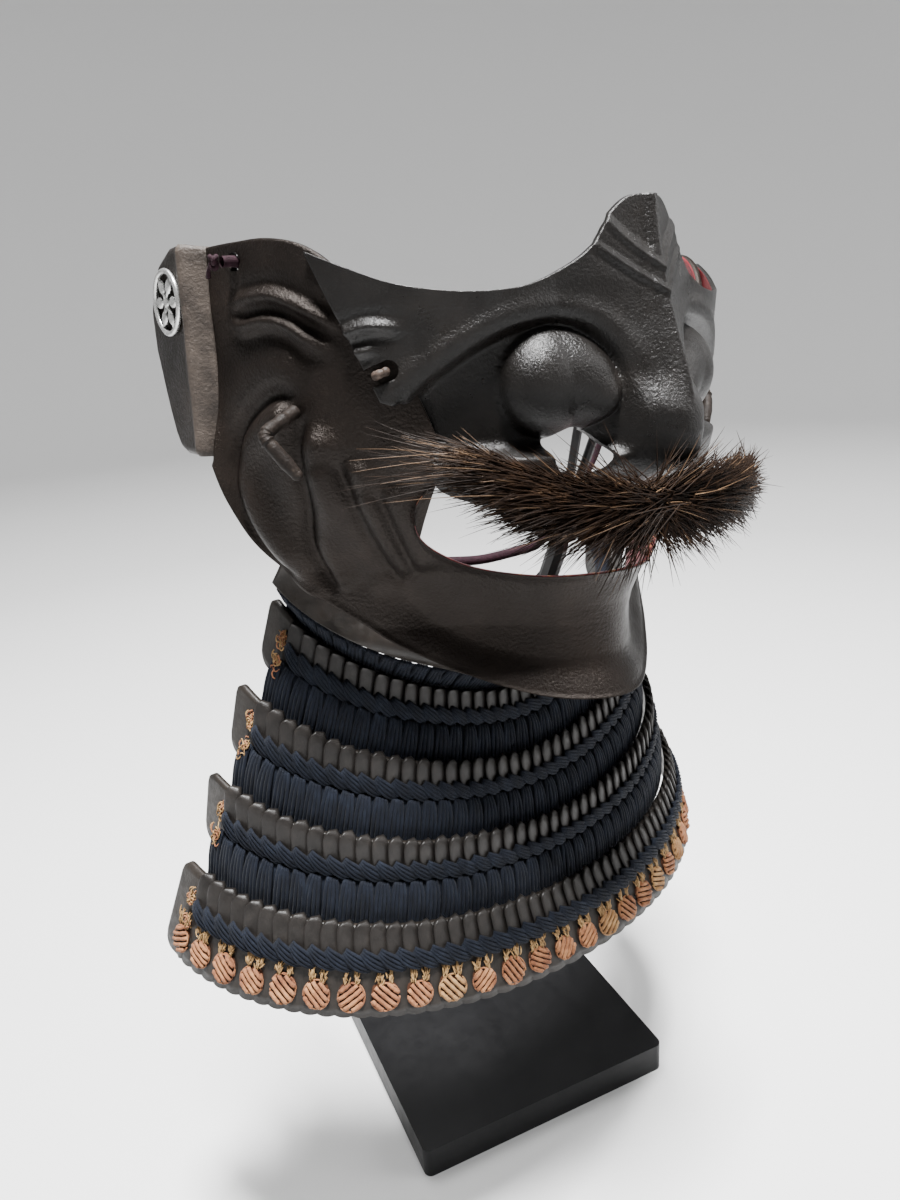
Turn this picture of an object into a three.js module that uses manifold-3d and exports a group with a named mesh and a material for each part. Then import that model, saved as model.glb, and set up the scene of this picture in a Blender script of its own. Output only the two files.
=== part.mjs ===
// Samurai face guard on a display stand, in millimetres, +Z up.
// The stand is drawn about the centre of its base plate's underside, with its front towards -Y.
// The mask and its throat guard are drawn about an upright axis of their own, looking along -Y
// with the middle plane at X = 0 (the wearer's right side is -X), and then placed on the stand.
import * as THREE from "three";
import * as BufferGeometryUtils from "three/addons/utils/BufferGeometryUtils.js";
import Module from "manifold-3d";

const wasm = await Module();
wasm.setup();

// ---------------------------------------------------------------- driving dimensions
const BASE_SIDE = 110;
const BASE_THICK = 13;
const BASE_CORNER = 3;

// Where the mask's own origin sits on the stand, and how it is turned and tilted there.
const MASK_PLACE = { x: -13.9, y: -14, z: 290 };
const MASK_TURN = 13.4; // degrees about the upright axis
const MASK_TILT = 3.2; // degrees about the mask's front-to-back axis

const MASK_HALF_WIDTH = 82; // between the cheeks, at the ears
const IRON = 1.6; // thickness of the bowl
const NOSE_IRON = 1.5; // thickness of the nose piece
const GAP = 0.4; // between pieces that touch
const CHIN_ROUND = 0.1; // how blunt the chin is in plan

// Horizontal sections of the face, by height: depth in front of the axis, and the power of
// the curve, from 2.3 (a full cheek) down to 1.18 (a wedge at the chin).
const FACE_DEPTH = [[-85, 87], [-55, 87], [-43, 88.5], [-25, 88], [-8, 86], [50, 85]];
const FACE_POWER = [[-85, 1.18], [-60, 1.18], [-43, 1.3], [-25, 1.75], [-8, 2.15], [50, 2.3]];

// The bowl's right half: each row pairs a point of the upper edge with one of the jaw edge,
// as [turn in degrees, z, turn in degrees, z]. The rows run from the ear to the chin.
const BOWL_ROWS = [
  [-78, 40.5, -78, -14],
  [-70, 41, -76.3, -24],
  [-62, 41.2, -73.5, -34.5],
  [-56, 39.5, -70, -41.5],
  [-50, 34, -65.5, -47.5],
  [-44, 20, -60, -52.3],
  [-37, 2, -53.5, -57.5],
  [-34.5, -13, -46.5, -63.2],
  [-39, -23, -40, -66.9],
  [-38, -32.5, -33.2, -70.6],
  [-30, -40, -23, -75.4],
  [-16, -43.7, -12, -79.2],
  [0, -43.7, 0, -80],
];

// The nose piece's right half, written the same way: the rim above, the lip below.
const NOSE_ROWS = [
  [-54.5, 37.5, -43.5, 3.5],
  [-48.2, 33.8, -38.5, 1],
  [-41, 30, -34.5, -5],
  [-34.5, 28.4, -35.5, -16.5],
  [-28, 28, -30, -21],
  [-21, 29.2, -22, -23.5],
  [-15, 32.8, -15, -25],
  [-10.5, 37.6, -10.5, -25.5],
  [-7, 45, -7, -26],
  [-3.5, 49, -3.5, -26],
  [0, 49.5, 0, -26],
];
// The nose stands forward of the face by NOSE_OUT and tapers to nothing at NOSE_HALF_WIDTH.
// Its tip is round across, and its bridge comes to a ridge.
const NOSE_OUT = [
  [-26, 0], [-22, 1], [-20, 3.5], [-18.3, 8.5], [-16.8, 13.5], [-14.8, 17.6], [-12, 20.3], [-9, 21.6],
  [-5, 22], [0, 21.2], [7, 19.2], [17, 15.4], [27, 11.7], [38, 8.8], [50, 6.4],
];
const NOSE_HALF_WIDTH = [[-26, 12], [-20, 13], [-14, 18.5], [-5, 21], [10, 24], [30, 25], [50, 20]];
const NOSTRIL_WING = { x: 25, z: 6.5, radius: 13.5, out: 9 };
const NOSTRIL = { x: 20.5, z: -10.5, width: 13, height: 13 };
const SLOT = { turn: 43.4, z: 10, length: 7.5, width: 4.2 };

// The flat guards at the ears stand outside the cheeks and run straight back.
const FLANGE = { x: 86, y: -16.4, low: -12, high: 42, thick: 2.2, step: 4.6 };
const CREST = { along: 13.7, z: 27.8, radius: 8.8, thick: 1.2 };

// The throat guard hangs in half rings, each [half width, front y, end y, front z, end z].
const RINGS = [
  [69, -50, -12, -83, -46],
  [66, -44, -9, -92, -53.5],
  [77.5, -52, -4, -112, -79.5],
  [88.5, -60.6, -0.5, -132, -107.3],
  [98, -69.1, 3.4, -152, -136.8],
  [107, -78.5, 7.4, -174, -166],
];
const RING_POWER = 2.2; // plan curve of the rings, a little fuller than an oval (2)
const RING_RISE = 0.73; // how the rings climb towards their ends
const LAME_THICK = 2;
const LAME_DROP = 0.8; // of the way down to the next lame's top
const LAME_TILT = 6.25; // how far a lame's foot lies inside the next lame's top
const RING_COLUMNS = 36;

const HOOK_ROD = 4.4;
const POST_ROD = 6;
const PRONG_ROD = 2.6;
const TIE_CORD = 2.8;
const EAR_HOLE = { x: 79, y: -28.5, z: 36.5, radius: 2.4 };

// ---------------------------------------------------------------- small tools
const lacquer = { color: 0x2a211d, roughness: 0.45, metalness: 0.3 };
const scaleLacquer = { color: 0x2b2724, roughness: 0.5, metalness: 0.1 };
const navyCord = { color: 0x121a2e, roughness: 0.9, metalness: 0 };

const group = new THREE.Group();
const mask = new THREE.Group();
mask.position.set(MASK_PLACE.x, MASK_PLACE.y, MASK_PLACE.z);
mask.rotation.set(0, THREE.MathUtils.degToRad(MASK_TILT), THREE.MathUtils.degToRad(MASK_TURN), "ZYX");
group.add(mask);

function addMesh(parent, name, geometry, look) {
  const mesh = new THREE.Mesh(geometry, new THREE.MeshStandardMaterial(look));
  mesh.name = name;
  parent.add(mesh);
}

// The value at x on a chart of [x, value] points joined by straight lines.
function chart(points, x) {
  let [fromX, fromValue] = points[0];
  for (const [toX, toValue] of points) {
    if (x < toX) {
      const part = toX > fromX ? (x - fromX) / (toX - fromX) : 0;
      return fromValue + (toValue - fromValue) * Math.max(part, 0);
    }
    fromX = toX;
    fromValue = toValue;
  }
  return fromValue;
}

const smooth = (t) => THREE.MathUtils.smoothstep(t, 0, 1);
const mix = THREE.MathUtils.lerp;

function toSolid(geometry) {
  const bare = geometry.clone();
  for (const name of Object.keys(bare.attributes)) {
    if (name !== "position") bare.deleteAttribute(name);
  }
  const merged = BufferGeometryUtils.mergeVertices(bare, 1e-4);
  const vertProperties = Float32Array.from(merged.attributes.position.array);
  const triVerts = Uint32Array.from(merged.index.array);
  return new wasm.Manifold(new wasm.Mesh({ numProp: 3, vertProperties, triVerts }));
}

function toGeometry(solid) {
  const mesh = solid.getMesh();
  const geometry = new THREE.BufferGeometry();
  geometry.setAttribute("position", new THREE.BufferAttribute(mesh.vertProperties, 3));
  geometry.setIndex(new THREE.BufferAttribute(mesh.triVerts, 1));
  return geometry;
}

// A closed wall from two grids of points of the same size, front[column][row] and
// back[column][row]. Seen from outside, columns run to the right and rows run upwards.
function wall(front, back) {
  const columns = front.length;
  const rows = front[0].length;
  const positions = [...front.flat(), ...back.flat()].flatMap((p) => [p.x, p.y, p.z]);
  const at = (side, i, j) => side * columns * rows + i * rows + j;
  const index = [];
  const quad = (a, b, c, d) => index.push(a, b, c, a, c, d);
  for (let i = 0; i + 1 < columns; i++) {
    for (let j = 0; j + 1 < rows; j++) {
      quad(at(0, i, j), at(0, i + 1, j), at(0, i + 1, j + 1), at(0, i, j + 1));
      quad(at(1, i, j), at(1, i, j + 1), at(1, i + 1, j + 1), at(1, i + 1, j));
    }
    quad(at(0, i, 0), at(1, i, 0), at(1, i + 1, 0), at(0, i + 1, 0));
    quad(at(0, i + 1, rows - 1), at(1, i + 1, rows - 1), at(1, i, rows - 1), at(0, i, rows - 1));
  }
  for (let j = 0; j + 1 < rows; j++) {
    quad(at(0, 0, j + 1), at(1, 0, j + 1), at(1, 0, j), at(0, 0, j));
    quad(at(0, columns - 1, j), at(1, columns - 1, j), at(1, columns - 1, j + 1), at(0, columns - 1, j + 1));
  }
  const geometry = new THREE.BufferGeometry();
  geometry.setAttribute("position", new THREE.Float32BufferAttribute(positions, 3));
  geometry.setIndex(index);
  return geometry;
}

// The back of a skin: every point moved inwards along the skin's normal.
function inset(front, thickness) {
  const last = front.length - 1;
  const top = front[0].length - 1;
  return front.map((column, i) =>
    column.map((point, j) => {
      const across = front[Math.min(i + 1, last)][j].clone().sub(front[Math.max(i - 1, 0)][j]);
      const up = front[i][Math.min(j + 1, top)].clone().sub(front[i][Math.max(j - 1, 0)]);
      const normal = across.cross(up).normalize();
      return point.clone().addScaledVector(normal, -thickness);
    }),
  );
}

// A round rod along a smooth path.
function rod(points, diameter, steps) {
  const vectors = points.map((p) => new THREE.Vector3(...p));
  const path = new THREE.CatmullRomCurve3(vectors, false, "centripetal");
  const section = new THREE.Shape();
  section.absarc(0, 0, diameter / 2, 0, 2 * Math.PI);
  const options = { extrudePath: path, steps, curveSegments: 4, bevelEnabled: false };
  return new THREE.ExtrudeGeometry(section, options);
}

// ---------------------------------------------------------------- the face
function faceRadius(turn, z) {
  const power = chart(FACE_POWER, z);
  const sine = Math.abs(Math.sin(turn));
  const side = Math.hypot(sine, CHIN_ROUND) - CHIN_ROUND * (1 - sine);
  const front = Math.abs(Math.cos(turn)) / chart(FACE_DEPTH, z);
  return ((side / MASK_HALF_WIDTH) ** power + front ** power) ** (-1 / power);
}

function facePoint(turn, z, out) {
  const radius = faceRadius(turn, z) + out;
  return new THREE.Vector3(radius * Math.sin(turn), -radius * Math.cos(turn), z);
}

// Both halves of a plate as a grid of [turn, z, part of the way up], from rows of its right half.
function plateGrid(halfRows, stepsPerRow, stepsUp) {
  const mirrored = halfRows.slice(0, -1).reverse().map(([a, za, b, zb]) => [-a, za, -b, zb]);
  const rows = [...halfRows, ...mirrored];
  const edge = (points) => new THREE.CatmullRomCurve3(points, false, "centripetal");
  const upper = edge(rows.map(([turn, z]) => new THREE.Vector3(turn, z, 0)));
  const lower = edge(rows.map(([, , turn, z]) => new THREE.Vector3(turn, z, 0)));
  const columns = (rows.length - 1) * stepsPerRow;
  return Array.from({ length: columns + 1 }, (_, i) => {
    const top = upper.getPoint(i / columns);
    const foot = lower.getPoint(i / columns);
    return Array.from({ length: stepsUp + 1 }, (_, j) => {
      const part = j / stepsUp;
      return [THREE.MathUtils.degToRad(mix(foot.x, top.x, part)), mix(foot.y, top.y, part), part];
    });
  });
}

// Under the lip the bowl is hollowed, and its lower edge flares out all along the jaw.
function bowlRelief(turn, part) {
  const nearFront = smooth(1.6 - Math.abs(turn) / 0.5);
  const hollow = -3 * Math.sin(Math.PI * part) * nearFront;
  const flare = 3.5 * (1 - smooth(part / 0.3));
  return hollow + flare;
}

function makeBowl() {
  const skin = plateGrid(BOWL_ROWS, 2, 8).map((column) =>
    column.map(([turn, z, part]) => facePoint(turn, z, bowlRelief(turn, part))),
  );
  let solid = toSolid(wall(skin, inset(skin, IRON)));
  for (const side of [-1, 1]) {
    const drill = new THREE.CylinderGeometry(EAR_HOLE.radius, EAR_HOLE.radius, 16, 12);
    drill.rotateZ(Math.PI / 2);
    drill.translate(side * EAR_HOLE.x, EAR_HOLE.y, EAR_HOLE.z);
    solid = solid.subtract(toSolid(drill));
  }
  return toGeometry(solid);
}

// How far the nose piece's skin stands off the plain face: the wings of the nostrils swell
// out of sunk sockets, and the upper lip is a raised bar.
function noseRelief(x, z) {
  const wing = NOSTRIL_WING;
  const wingReach = Math.hypot(x - wing.x, z - wing.z) / wing.radius;
  const swell = wingReach < 1 ? wing.out * (1 - wingReach ** 2) ** 0.7 : 0;
  const socketReach = Math.hypot((x - 28) / 23, (z - 0) / 21.5);
  const socket = -3.5 * smooth((1 - socketReach) / 0.25) * smooth((z + 10) / 6);
  const lip = 3 * smooth((-5 - z) / 4) * smooth((x - 10) / 5);
  return swell + socket + lip;
}

function nosePoint(turn, z) {
  const point = facePoint(turn, z, GAP + NOSE_IRON);
  const x = Math.abs(point.x);
  const relief = noseRelief(x, z);
  point.x += relief * Math.sin(turn);
  point.y -= relief * Math.cos(turn);
  const reach = Math.min(x / chart(NOSE_HALF_WIDTH, z), 1);
  const round = Math.cos((Math.PI / 2) * reach) ** 1.3;
  const ridged = (1 - reach) ** 1.25;
  point.y -= chart(NOSE_OUT, z) * mix(round, ridged, smooth((z + 2) / 12));
  return point;
}

function makeNosePiece() {
  const skin = plateGrid(NOSE_ROWS, 2, 14).map((column) => column.map(([turn, z]) => nosePoint(turn, z)));
  let solid = toSolid(wall(skin, inset(skin, NOSE_IRON)));
  for (const side of [-1, 1]) {
    const nostril = new THREE.CylinderGeometry(0.5, 0.5, 60, 12);
    nostril.scale(NOSTRIL.width, 1, NOSTRIL.height);
    nostril.translate(side * NOSTRIL.x, -85, NOSTRIL.z);
    solid = solid.subtract(toSolid(nostril));
    const slot = new THREE.BoxGeometry(SLOT.length, 12, SLOT.width);
    solid = solid.subtract(toSolid(atSlot(slot, side, 0)));
  }
  return toGeometry(solid);
}

// Moves a shape made about the origin, facing -Y, onto the slot of one side.
function atSlot(geometry, side, out) {
  const turn = side * THREE.MathUtils.degToRad(SLOT.turn);
  const place = facePoint(turn, SLOT.z, out);
  return geometry.rotateY(side * 0.35).rotateZ(turn).translate(place.x, place.y, place.z);
}

function makeNoseStud(side) {
  const head = new THREE.BoxGeometry(4.6, 3.4, 2);
  return atSlot(head, side, GAP + 1.9);
}

// ---------------------------------------------------------------- ear guards
// The guard's plate with a round back corner, and the step that joins it to the cheek.
function makeFlange(side) {
  const { x, y, low, high, thick, step } = FLANGE;
  const outline = new THREE.Shape();
  outline.moveTo(0, low);
  outline.lineTo(14, low);
  outline.quadraticCurveTo(18.5, low + 0.5, 19.8, low + 5);
  outline.lineTo(27.4, high - 25);
  outline.quadraticCurveTo(28.5, high - 6, 17, high - 2);
  outline.quadraticCurveTo(6, high + 2, 0, high - 1);
  outline.closePath();
  const plate = new THREE.ExtrudeGeometry(outline, { depth: thick, curveSegments: 5, bevelEnabled: false });
  plate.applyMatrix4(sideFrame(x - thick, y));
  const rib = new THREE.BoxGeometry(step + thick, 2.4, high - low - 2);
  rib.translate(x - (step + thick) / 2 + 0.2, y + 1.6, (high + low) / 2 - 0.6);
  const left = toGeometry(toSolid(plate).add(toSolid(rib)));
  return side > 0 ? left : mirrorX(left);
}

// Places a shape drawn in a plane on the mask's left side: its x runs back and its y runs up.
function sideFrame(x, y) {
  const back = new THREE.Vector3(0, 1, 0);
  const up = new THREE.Vector3(0, 0, 1);
  const outwards = new THREE.Vector3(1, 0, 0);
  return new THREE.Matrix4().makeBasis(back, up, outwards).setPosition(x, y, 0);
}

function mirrorX(geometry) {
  const mirrored = geometry.clone().scale(-1, 1, 1);
  const index = mirrored.index.array;
  for (let i = 0; i < index.length; i += 3) {
    [index[i + 1], index[i + 2]] = [index[i + 2], index[i + 1]];
  }
  return mirrored;
}

// A pierced rosette: a ring and a six-pointed middle joined by its six points.
function makeCrest(side) {
  const { radius, thick } = CREST;
  const rosette = new THREE.Shape();
  rosette.absarc(0, 0, radius, 0, 2 * Math.PI);
  for (let i = 0; i < 6; i++) {
    const middle = (i * Math.PI) / 3;
    const petal = new THREE.Path();
    const inner = radius * 0.3;
    const outer = radius * 0.8;
    petal.moveTo(inner * Math.cos(middle), inner * Math.sin(middle));
    petal.lineTo(outer * Math.cos(middle - 0.38), outer * Math.sin(middle - 0.38));
    petal.lineTo(outer * Math.cos(middle), outer * Math.sin(middle));
    petal.lineTo(outer * Math.cos(middle + 0.38), outer * Math.sin(middle + 0.38));
    petal.closePath();
    rosette.holes.push(petal);
  }
  const disc = new THREE.ExtrudeGeometry(rosette, { depth: thick, curveSegments: 12, bevelEnabled: false });
  disc.applyMatrix4(sideFrame(FLANGE.x + GAP, FLANGE.y + CREST.along));
  disc.translate(0, 0, CREST.z);
  const left = toGeometry(toSolid(disc));
  return side > 0 ? left : mirrorX(left);
}

// A rod out of the cheek, bent forwards and down, for the cord that ties the mask on.
function makeHook(side) {
  const root = facePoint(THREE.MathUtils.degToRad(58.8), 1, 1);
  const elbow = facePoint(THREE.MathUtils.degToRad(60), -3.5, 12);
  const tip = facePoint(THREE.MathUtils.degToRad(55.9), -13, 11);
  const points = [root, elbow, tip].map((p) => [side * p.x, p.y, p.z]);
  return rod(points, HOOK_ROD, 8);
}

// ---------------------------------------------------------------- moustache
// The outer form of the bristles: flat ovals along an arch under the nose.
// Each section is [x, y, z, half depth, half height].
const MOUSTACHE = [
  [-74, -80, -2, 1.5, 1.8],
  [-61, -87, -2.5, 3, 3.5],
  [-51, -96, -9.5, 4, 6.5],
  [-38, -103, -17.5, 4.5, 8.5],
  [-22, -110, -20.5, 4.5, 8],
  [-5, -113, -20.5, 4, 9],
  [12, -111, -20.5, 4, 9.5],
  [28, -104, -21, 4.5, 9],
  [43, -95, -22, 4.5, 7],
  [55, -89, -23, 2.5, 3.5],
];

function makeMoustache() {
  const corners = 10;
  const positions = [];
  for (const [x, y, z, depth, height] of MOUSTACHE) {
    for (let k = 0; k < corners; k++) {
      const angle = (2 * Math.PI * k) / corners;
      positions.push(x, y + depth * Math.cos(angle), z + height * Math.sin(angle));
    }
  }
  const index = [];
  const last = MOUSTACHE.length - 1;
  for (let i = 0; i < last; i++) {
    for (let k = 0; k < corners; k++) {
      const a = i * corners + k;
      const b = i * corners + ((k + 1) % corners);
      index.push(a, b, b + corners, a, b + corners, a + corners);
    }
  }
  for (let k = 1; k + 1 < corners; k++) {
    index.push(0, k + 1, k);
    index.push(last * corners, last * corners + k, last * corners + k + 1);
  }
  const geometry = new THREE.BufferGeometry();
  geometry.setAttribute("position", new THREE.Float32BufferAttribute(positions, 3));
  geometry.setIndex(index);
  return geometry;
}

// ---------------------------------------------------------------- throat guard
// A point on the rings' surface: level counts the rings down, turn runs from -90 to 90 degrees.
function ringPoint(level, turn, out) {
  const at = Math.min(Math.floor(level), RINGS.length - 2);
  const ring = RINGS[at].map((value, k) => mix(value, RINGS[at + 1][k], level - at));
  const [halfWidth, frontY, endY, frontZ, endZ] = ring;
  const x = Math.sign(turn) * halfWidth * Math.abs(Math.sin(turn)) ** (2 / RING_POWER);
  const back = 1 - Math.max(Math.cos(turn), 0) ** (2 / RING_POWER);
  const point = new THREE.Vector3(x, mix(frontY, endY, back), mix(frontZ, endZ, back ** RING_RISE));
  if (out === 0) return point;
  const step = 0.02;
  const after = ringPoint(level, Math.min(turn + step, Math.PI / 2), 0);
  const before = ringPoint(level, Math.max(turn - step, -Math.PI / 2), 0);
  const outwards = new THREE.Vector3(after.y - before.y, before.x - after.x, 0).normalize();
  return point.addScaledVector(outwards, out);
}

// A strip of the guard between levels; each row is [level, inner offset, outer offset].
function ringStrip(rows, endTurn = 88) {
  const limit = THREE.MathUtils.degToRad(endTurn);
  const turns = Array.from({ length: RING_COLUMNS + 1 }, (_, i) => mix(-limit, limit, i / RING_COLUMNS));
  const upwards = [...rows].reverse();
  const front = turns.map((turn) => upwards.map(([level, , outer]) => ringPoint(level, turn, outer)));
  const back = turns.map((turn) => upwards.map(([level, inner]) => ringPoint(level, turn, inner)));
  return wall(front, back);
}

function makeLame(number) {
  const hem = number === RINGS.length - 2;
  const foot = number + (hem ? 1 : LAME_DROP);
  const tilt = hem ? 0 : LAME_TILT;
  const levels = [number, mix(number, foot, 0.5), foot];
  return ringStrip(levels.map((level) => {
    const inner = -tilt * (level - number);
    return [level, inner, inner + LAME_THICK];
  }));
}

function makeBraid(number) {
  const hem = number === RINGS.length - 2;
  const [high, low] = hem ? [0.19, 0.37] : [0.24, 0.46];
  const tilt = hem ? 0 : LAME_TILT;
  return ringStrip([high, low].map((down) => {
    const inner = LAME_THICK - tilt * down + GAP;
    return [number + down, inner, inner + 3.4];
  }), 80);
}

// The curtain of cords from one lame's middle to behind the next one's top. The first hangs
// from the foot of the strip under the jaw.
function makeLacing(number) {
  if (number === 0) return ringStrip([[0.1, 0, 1.6], [0.6, -1.6, 0], [1, -2.8, -1.2], [1.12, -3, -1.4]], 80);
  return ringStrip([[number + 0.5, -0.7, 0.9], [number + 0.82, -1.8, -0.2], [number + 1.12, -3, -1.4]], 82);
}

// The jaw's lower edge, a little inside the bowl, with the same turns as the rings.
function jawEdge(turn, inside, drop) {
  const rows = [...BOWL_ROWS].reverse().map((row) => [Math.abs(row[2]), row[3]]);
  const faceTurn = turn * 0.85;
  const z = chart(rows, THREE.MathUtils.radToDeg(Math.abs(faceTurn)));
  return facePoint(faceTurn, z - drop, -inside);
}

// A curved strip from under the jaw edge down to the top ring.
function jawStrip(footLevel, inside, drop, footInner, footOuter, endTurn) {
  const limit = THREE.MathUtils.degToRad(endTurn);
  const turns = Array.from({ length: RING_COLUMNS + 1 }, (_, i) => mix(-limit, limit, i / RING_COLUMNS));
  const thick = footOuter - footInner;
  const front = turns.map((turn) => [ringPoint(footLevel, turn, footOuter), jawEdge(turn, inside, drop)]);
  const back = turns.map((turn) => [
    ringPoint(footLevel, turn, footInner),
    jawEdge(turn, inside + thick, drop - 0.4),
  ]);
  return wall(front, back);
}

// ---------------------------------------------------------------- cord and stand
// From a knot outside the right ear hole, down inside the mask, and up to the left ear hole.
const TIE_ROUTE = [
  [-82, -28.5, 36.5], [-78, -28.5, 36.5], [-73.5, -27.5, 34], [-70.5, -25, 22], [-67.5, -21, -5],
  [-58, -26, -30], [-44, -38, -42], [-24, -50, -45], [-12, -53, -44.5], [0, -54, -43],
  [6, -54, -39.5], [12, -54, -33], [24, -53, -20], [29, -53, -10], [48, -45, 8], [66, -32, 26],
  [73.5, -27.5, 34], [78, -28.5, 36.5], [82, -28.5, 36.5],
];

function makeKnot(side) {
  const knot = new THREE.SphereGeometry(2.8, 10, 6);
  knot.scale(0.6, 1, 1);
  return knot.translate(side * (82 + GAP + 1.7), EAR_HOLE.y, EAR_HOLE.z);
}

function makeBase() {
  const half = BASE_SIDE / 2;
  const inner = half - BASE_CORNER;
  const outline = new THREE.Shape();
  outline.absarc(inner, inner, BASE_CORNER, 0, Math.PI / 2);
  outline.absarc(-inner, inner, BASE_CORNER, Math.PI / 2, Math.PI);
  outline.absarc(-inner, -inner, BASE_CORNER, Math.PI, 1.5 * Math.PI);
  outline.absarc(inner, -inner, BASE_CORNER, 1.5 * Math.PI, 2 * Math.PI);
  outline.closePath();
  return new THREE.ExtrudeGeometry(outline, { depth: BASE_THICK, curveSegments: 4, bevelEnabled: false });
}

// The post rises behind the throat, leans forward over the jaw and forks under the nose.
function makePost() {
  const route = [
    [0, 14, BASE_THICK + GAP], [0, 14, 100], [0, 13, 180], [0, 0, 205],
    [0, -58, 229], [0, -70, 241], [0, -76, 258],
  ];
  let solid = toSolid(rod(route, POST_ROD, 24));
  for (const side of [-1, 1]) {
    const prong = rod([[0, -74.5, 252], [side * 3, -89, 282], [side * 4.5, -96, 297]], PRONG_ROD, 4);
    solid = solid.add(toSolid(prong));
  }
  return toGeometry(solid);
}

// ---------------------------------------------------------------- assembly
addMesh(mask, "mask_bowl", makeBowl(), lacquer);
addMesh(mask, "nose_piece", makeNosePiece(), lacquer);
for (const [name, side] of [["right", -1], ["left", 1]]) {
  addMesh(mask, `nose_stud_${name}`, makeNoseStud(side), { color: 0x5a4a3c, roughness: 0.5, metalness: 0.6 });
  addMesh(mask, `ear_flange_${name}`, makeFlange(side), lacquer);
  addMesh(mask, `crest_${name}`, makeCrest(side), { color: 0xd8d8d6, roughness: 0.3, metalness: 0.9 });
  addMesh(mask, `cheek_hook_${name}`, makeHook(side), lacquer);
  addMesh(mask, `cord_knot_${name}`, makeKnot(side), { color: 0x4a2338, roughness: 0.9, metalness: 0 });
}
addMesh(mask, "tie_cord", rod(TIE_ROUTE, TIE_CORD, 50), { color: 0x4a2338, roughness: 0.9, metalness: 0 });
addMesh(mask, "moustache", makeMoustache(), { color: 0x4a3122, roughness: 0.8, metalness: 0 });
addMesh(mask, "throat_strip", jawStrip(0, 3, 1.5, 0, LAME_THICK, 84), scaleLacquer);
for (let number = 1; number <= 4; number++) {
  addMesh(mask, `throat_lame_${number}`, makeLame(number), scaleLacquer);
  addMesh(mask, `braid_${number}`, makeBraid(number), navyCord);
}
for (let number = 0; number <= 3; number++) {
  addMesh(mask, `lacing_${number}`, makeLacing(number), navyCord);
}
addMesh(group, "stand_base", makeBase(), { color: 0x0c0c0d, roughness: 0.4, metalness: 0.2 });
addMesh(group, "stand_post", makePost(), { color: 0x1a1a1b, roughness: 0.5, metalness: 0.5 });

export default group;
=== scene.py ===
"""Looks for the samurai face guard on its display stand.

The mask and the throat guard are drawn in millimetres about the mask's own upright axis, looking
along -Y, and MASK_MATRIX then places them on the stand, in the row frame, in metres.
"""
import math

import bpy
import numpy as np
from mathutils import Matrix, Vector


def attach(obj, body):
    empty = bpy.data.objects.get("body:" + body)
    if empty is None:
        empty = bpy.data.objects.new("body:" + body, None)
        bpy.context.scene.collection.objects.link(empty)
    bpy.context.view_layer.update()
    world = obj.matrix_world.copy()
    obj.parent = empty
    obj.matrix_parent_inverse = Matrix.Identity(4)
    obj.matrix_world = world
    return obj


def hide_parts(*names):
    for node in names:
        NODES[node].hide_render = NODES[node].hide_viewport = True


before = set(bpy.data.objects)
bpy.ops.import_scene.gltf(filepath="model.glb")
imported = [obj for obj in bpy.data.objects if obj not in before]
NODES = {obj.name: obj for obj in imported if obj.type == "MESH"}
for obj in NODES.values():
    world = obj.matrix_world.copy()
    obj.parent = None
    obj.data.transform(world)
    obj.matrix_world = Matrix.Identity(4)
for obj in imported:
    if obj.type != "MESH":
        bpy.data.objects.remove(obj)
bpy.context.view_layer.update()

RNG = np.random.default_rng(7)
MM = 0.001

# -------- the mask's own frame
MASK_PLACE = (-13.9, -14, 290)
MASK_TURN = math.radians(13.4)
MASK_TILT = math.radians(3.2)
MASK_MATRIX = (
    Matrix.Translation(MASK_PLACE)
    @ Matrix.Rotation(MASK_TURN, 4, "Z")
    @ Matrix.Rotation(MASK_TILT, 4, "Y")
)
MASK_TO_ROW = Matrix.Scale(MM, 4) @ MASK_MATRIX

# -------- driving dimensions, in mm
MASK_HALF_WIDTH = 82
CHIN_ROUND = 0.1
BOWL_IRON = 1.84
NOSE_IRON = 1.5
GAP = 0.4
FACE_DEPTH = [[-85, 87], [-55, 87], [-43, 88.5], [-25, 88], [-8, 86], [50, 85]]
FACE_POWER = [[-85, 1.18], [-60, 1.18], [-43, 1.3], [-25, 1.75], [-8, 2.15], [50, 2.3]]

# Plates are ruled from rows of their right half: [turn, z] of the upper edge, then of the lower.
BOWL_ROWS = [
    [-78, 40.5, -78, -14],
    [-70, 41, -76.3, -24],
    [-62, 41.2, -73.5, -34.5],
    [-56, 39.5, -70, -41.5],
    [-50, 34, -65.5, -47.5],
    [-44, 20, -60, -52.3],
    [-37, 2, -53.5, -57.5],
    [-34.5, -13, -46.5, -63.2],
    [-39, -23, -40, -66.9],
    [-38, -32.5, -33.2, -70.6],
    [-30, -40, -23, -75.4],
    [-16, -43.7, -12, -79.2],
    [0, -43.7, 0, -80],
]
NOSE_ROWS = [
    [-54.5, 37.5, -43.5, 3.5],
    [-48.2, 33.8, -38.5, 1],
    [-41, 30, -34.5, -5],
    [-34.5, 28.4, -35.5, -16.5],
    [-28, 28, -30, -21],
    [-21, 29.2, -22, -23.5],
    [-15, 32.8, -15, -25],
    [-10.5, 37.6, -10.5, -25.5],
    [-7, 45, -7, -26],
    [-3.5, 49, -3.5, -26],
    [0, 49.5, 0, -26],
]
NOSE_OUT = [
    [-26, 0], [-22, 1], [-20, 3.5], [-18.3, 8.5], [-16.8, 13.5], [-14.8, 17.6], [-12, 20.3], [-9, 21.6],
    [-5, 22], [0, 21.2], [7, 19.2], [17, 15.4], [27, 11.7], [38, 8.8], [50, 6.4],
]
NOSE_HALF_WIDTH = [[-26, 12], [-20, 13], [-14, 18.5], [-5, 21], [10, 24], [30, 25], [50, 20]]

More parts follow.
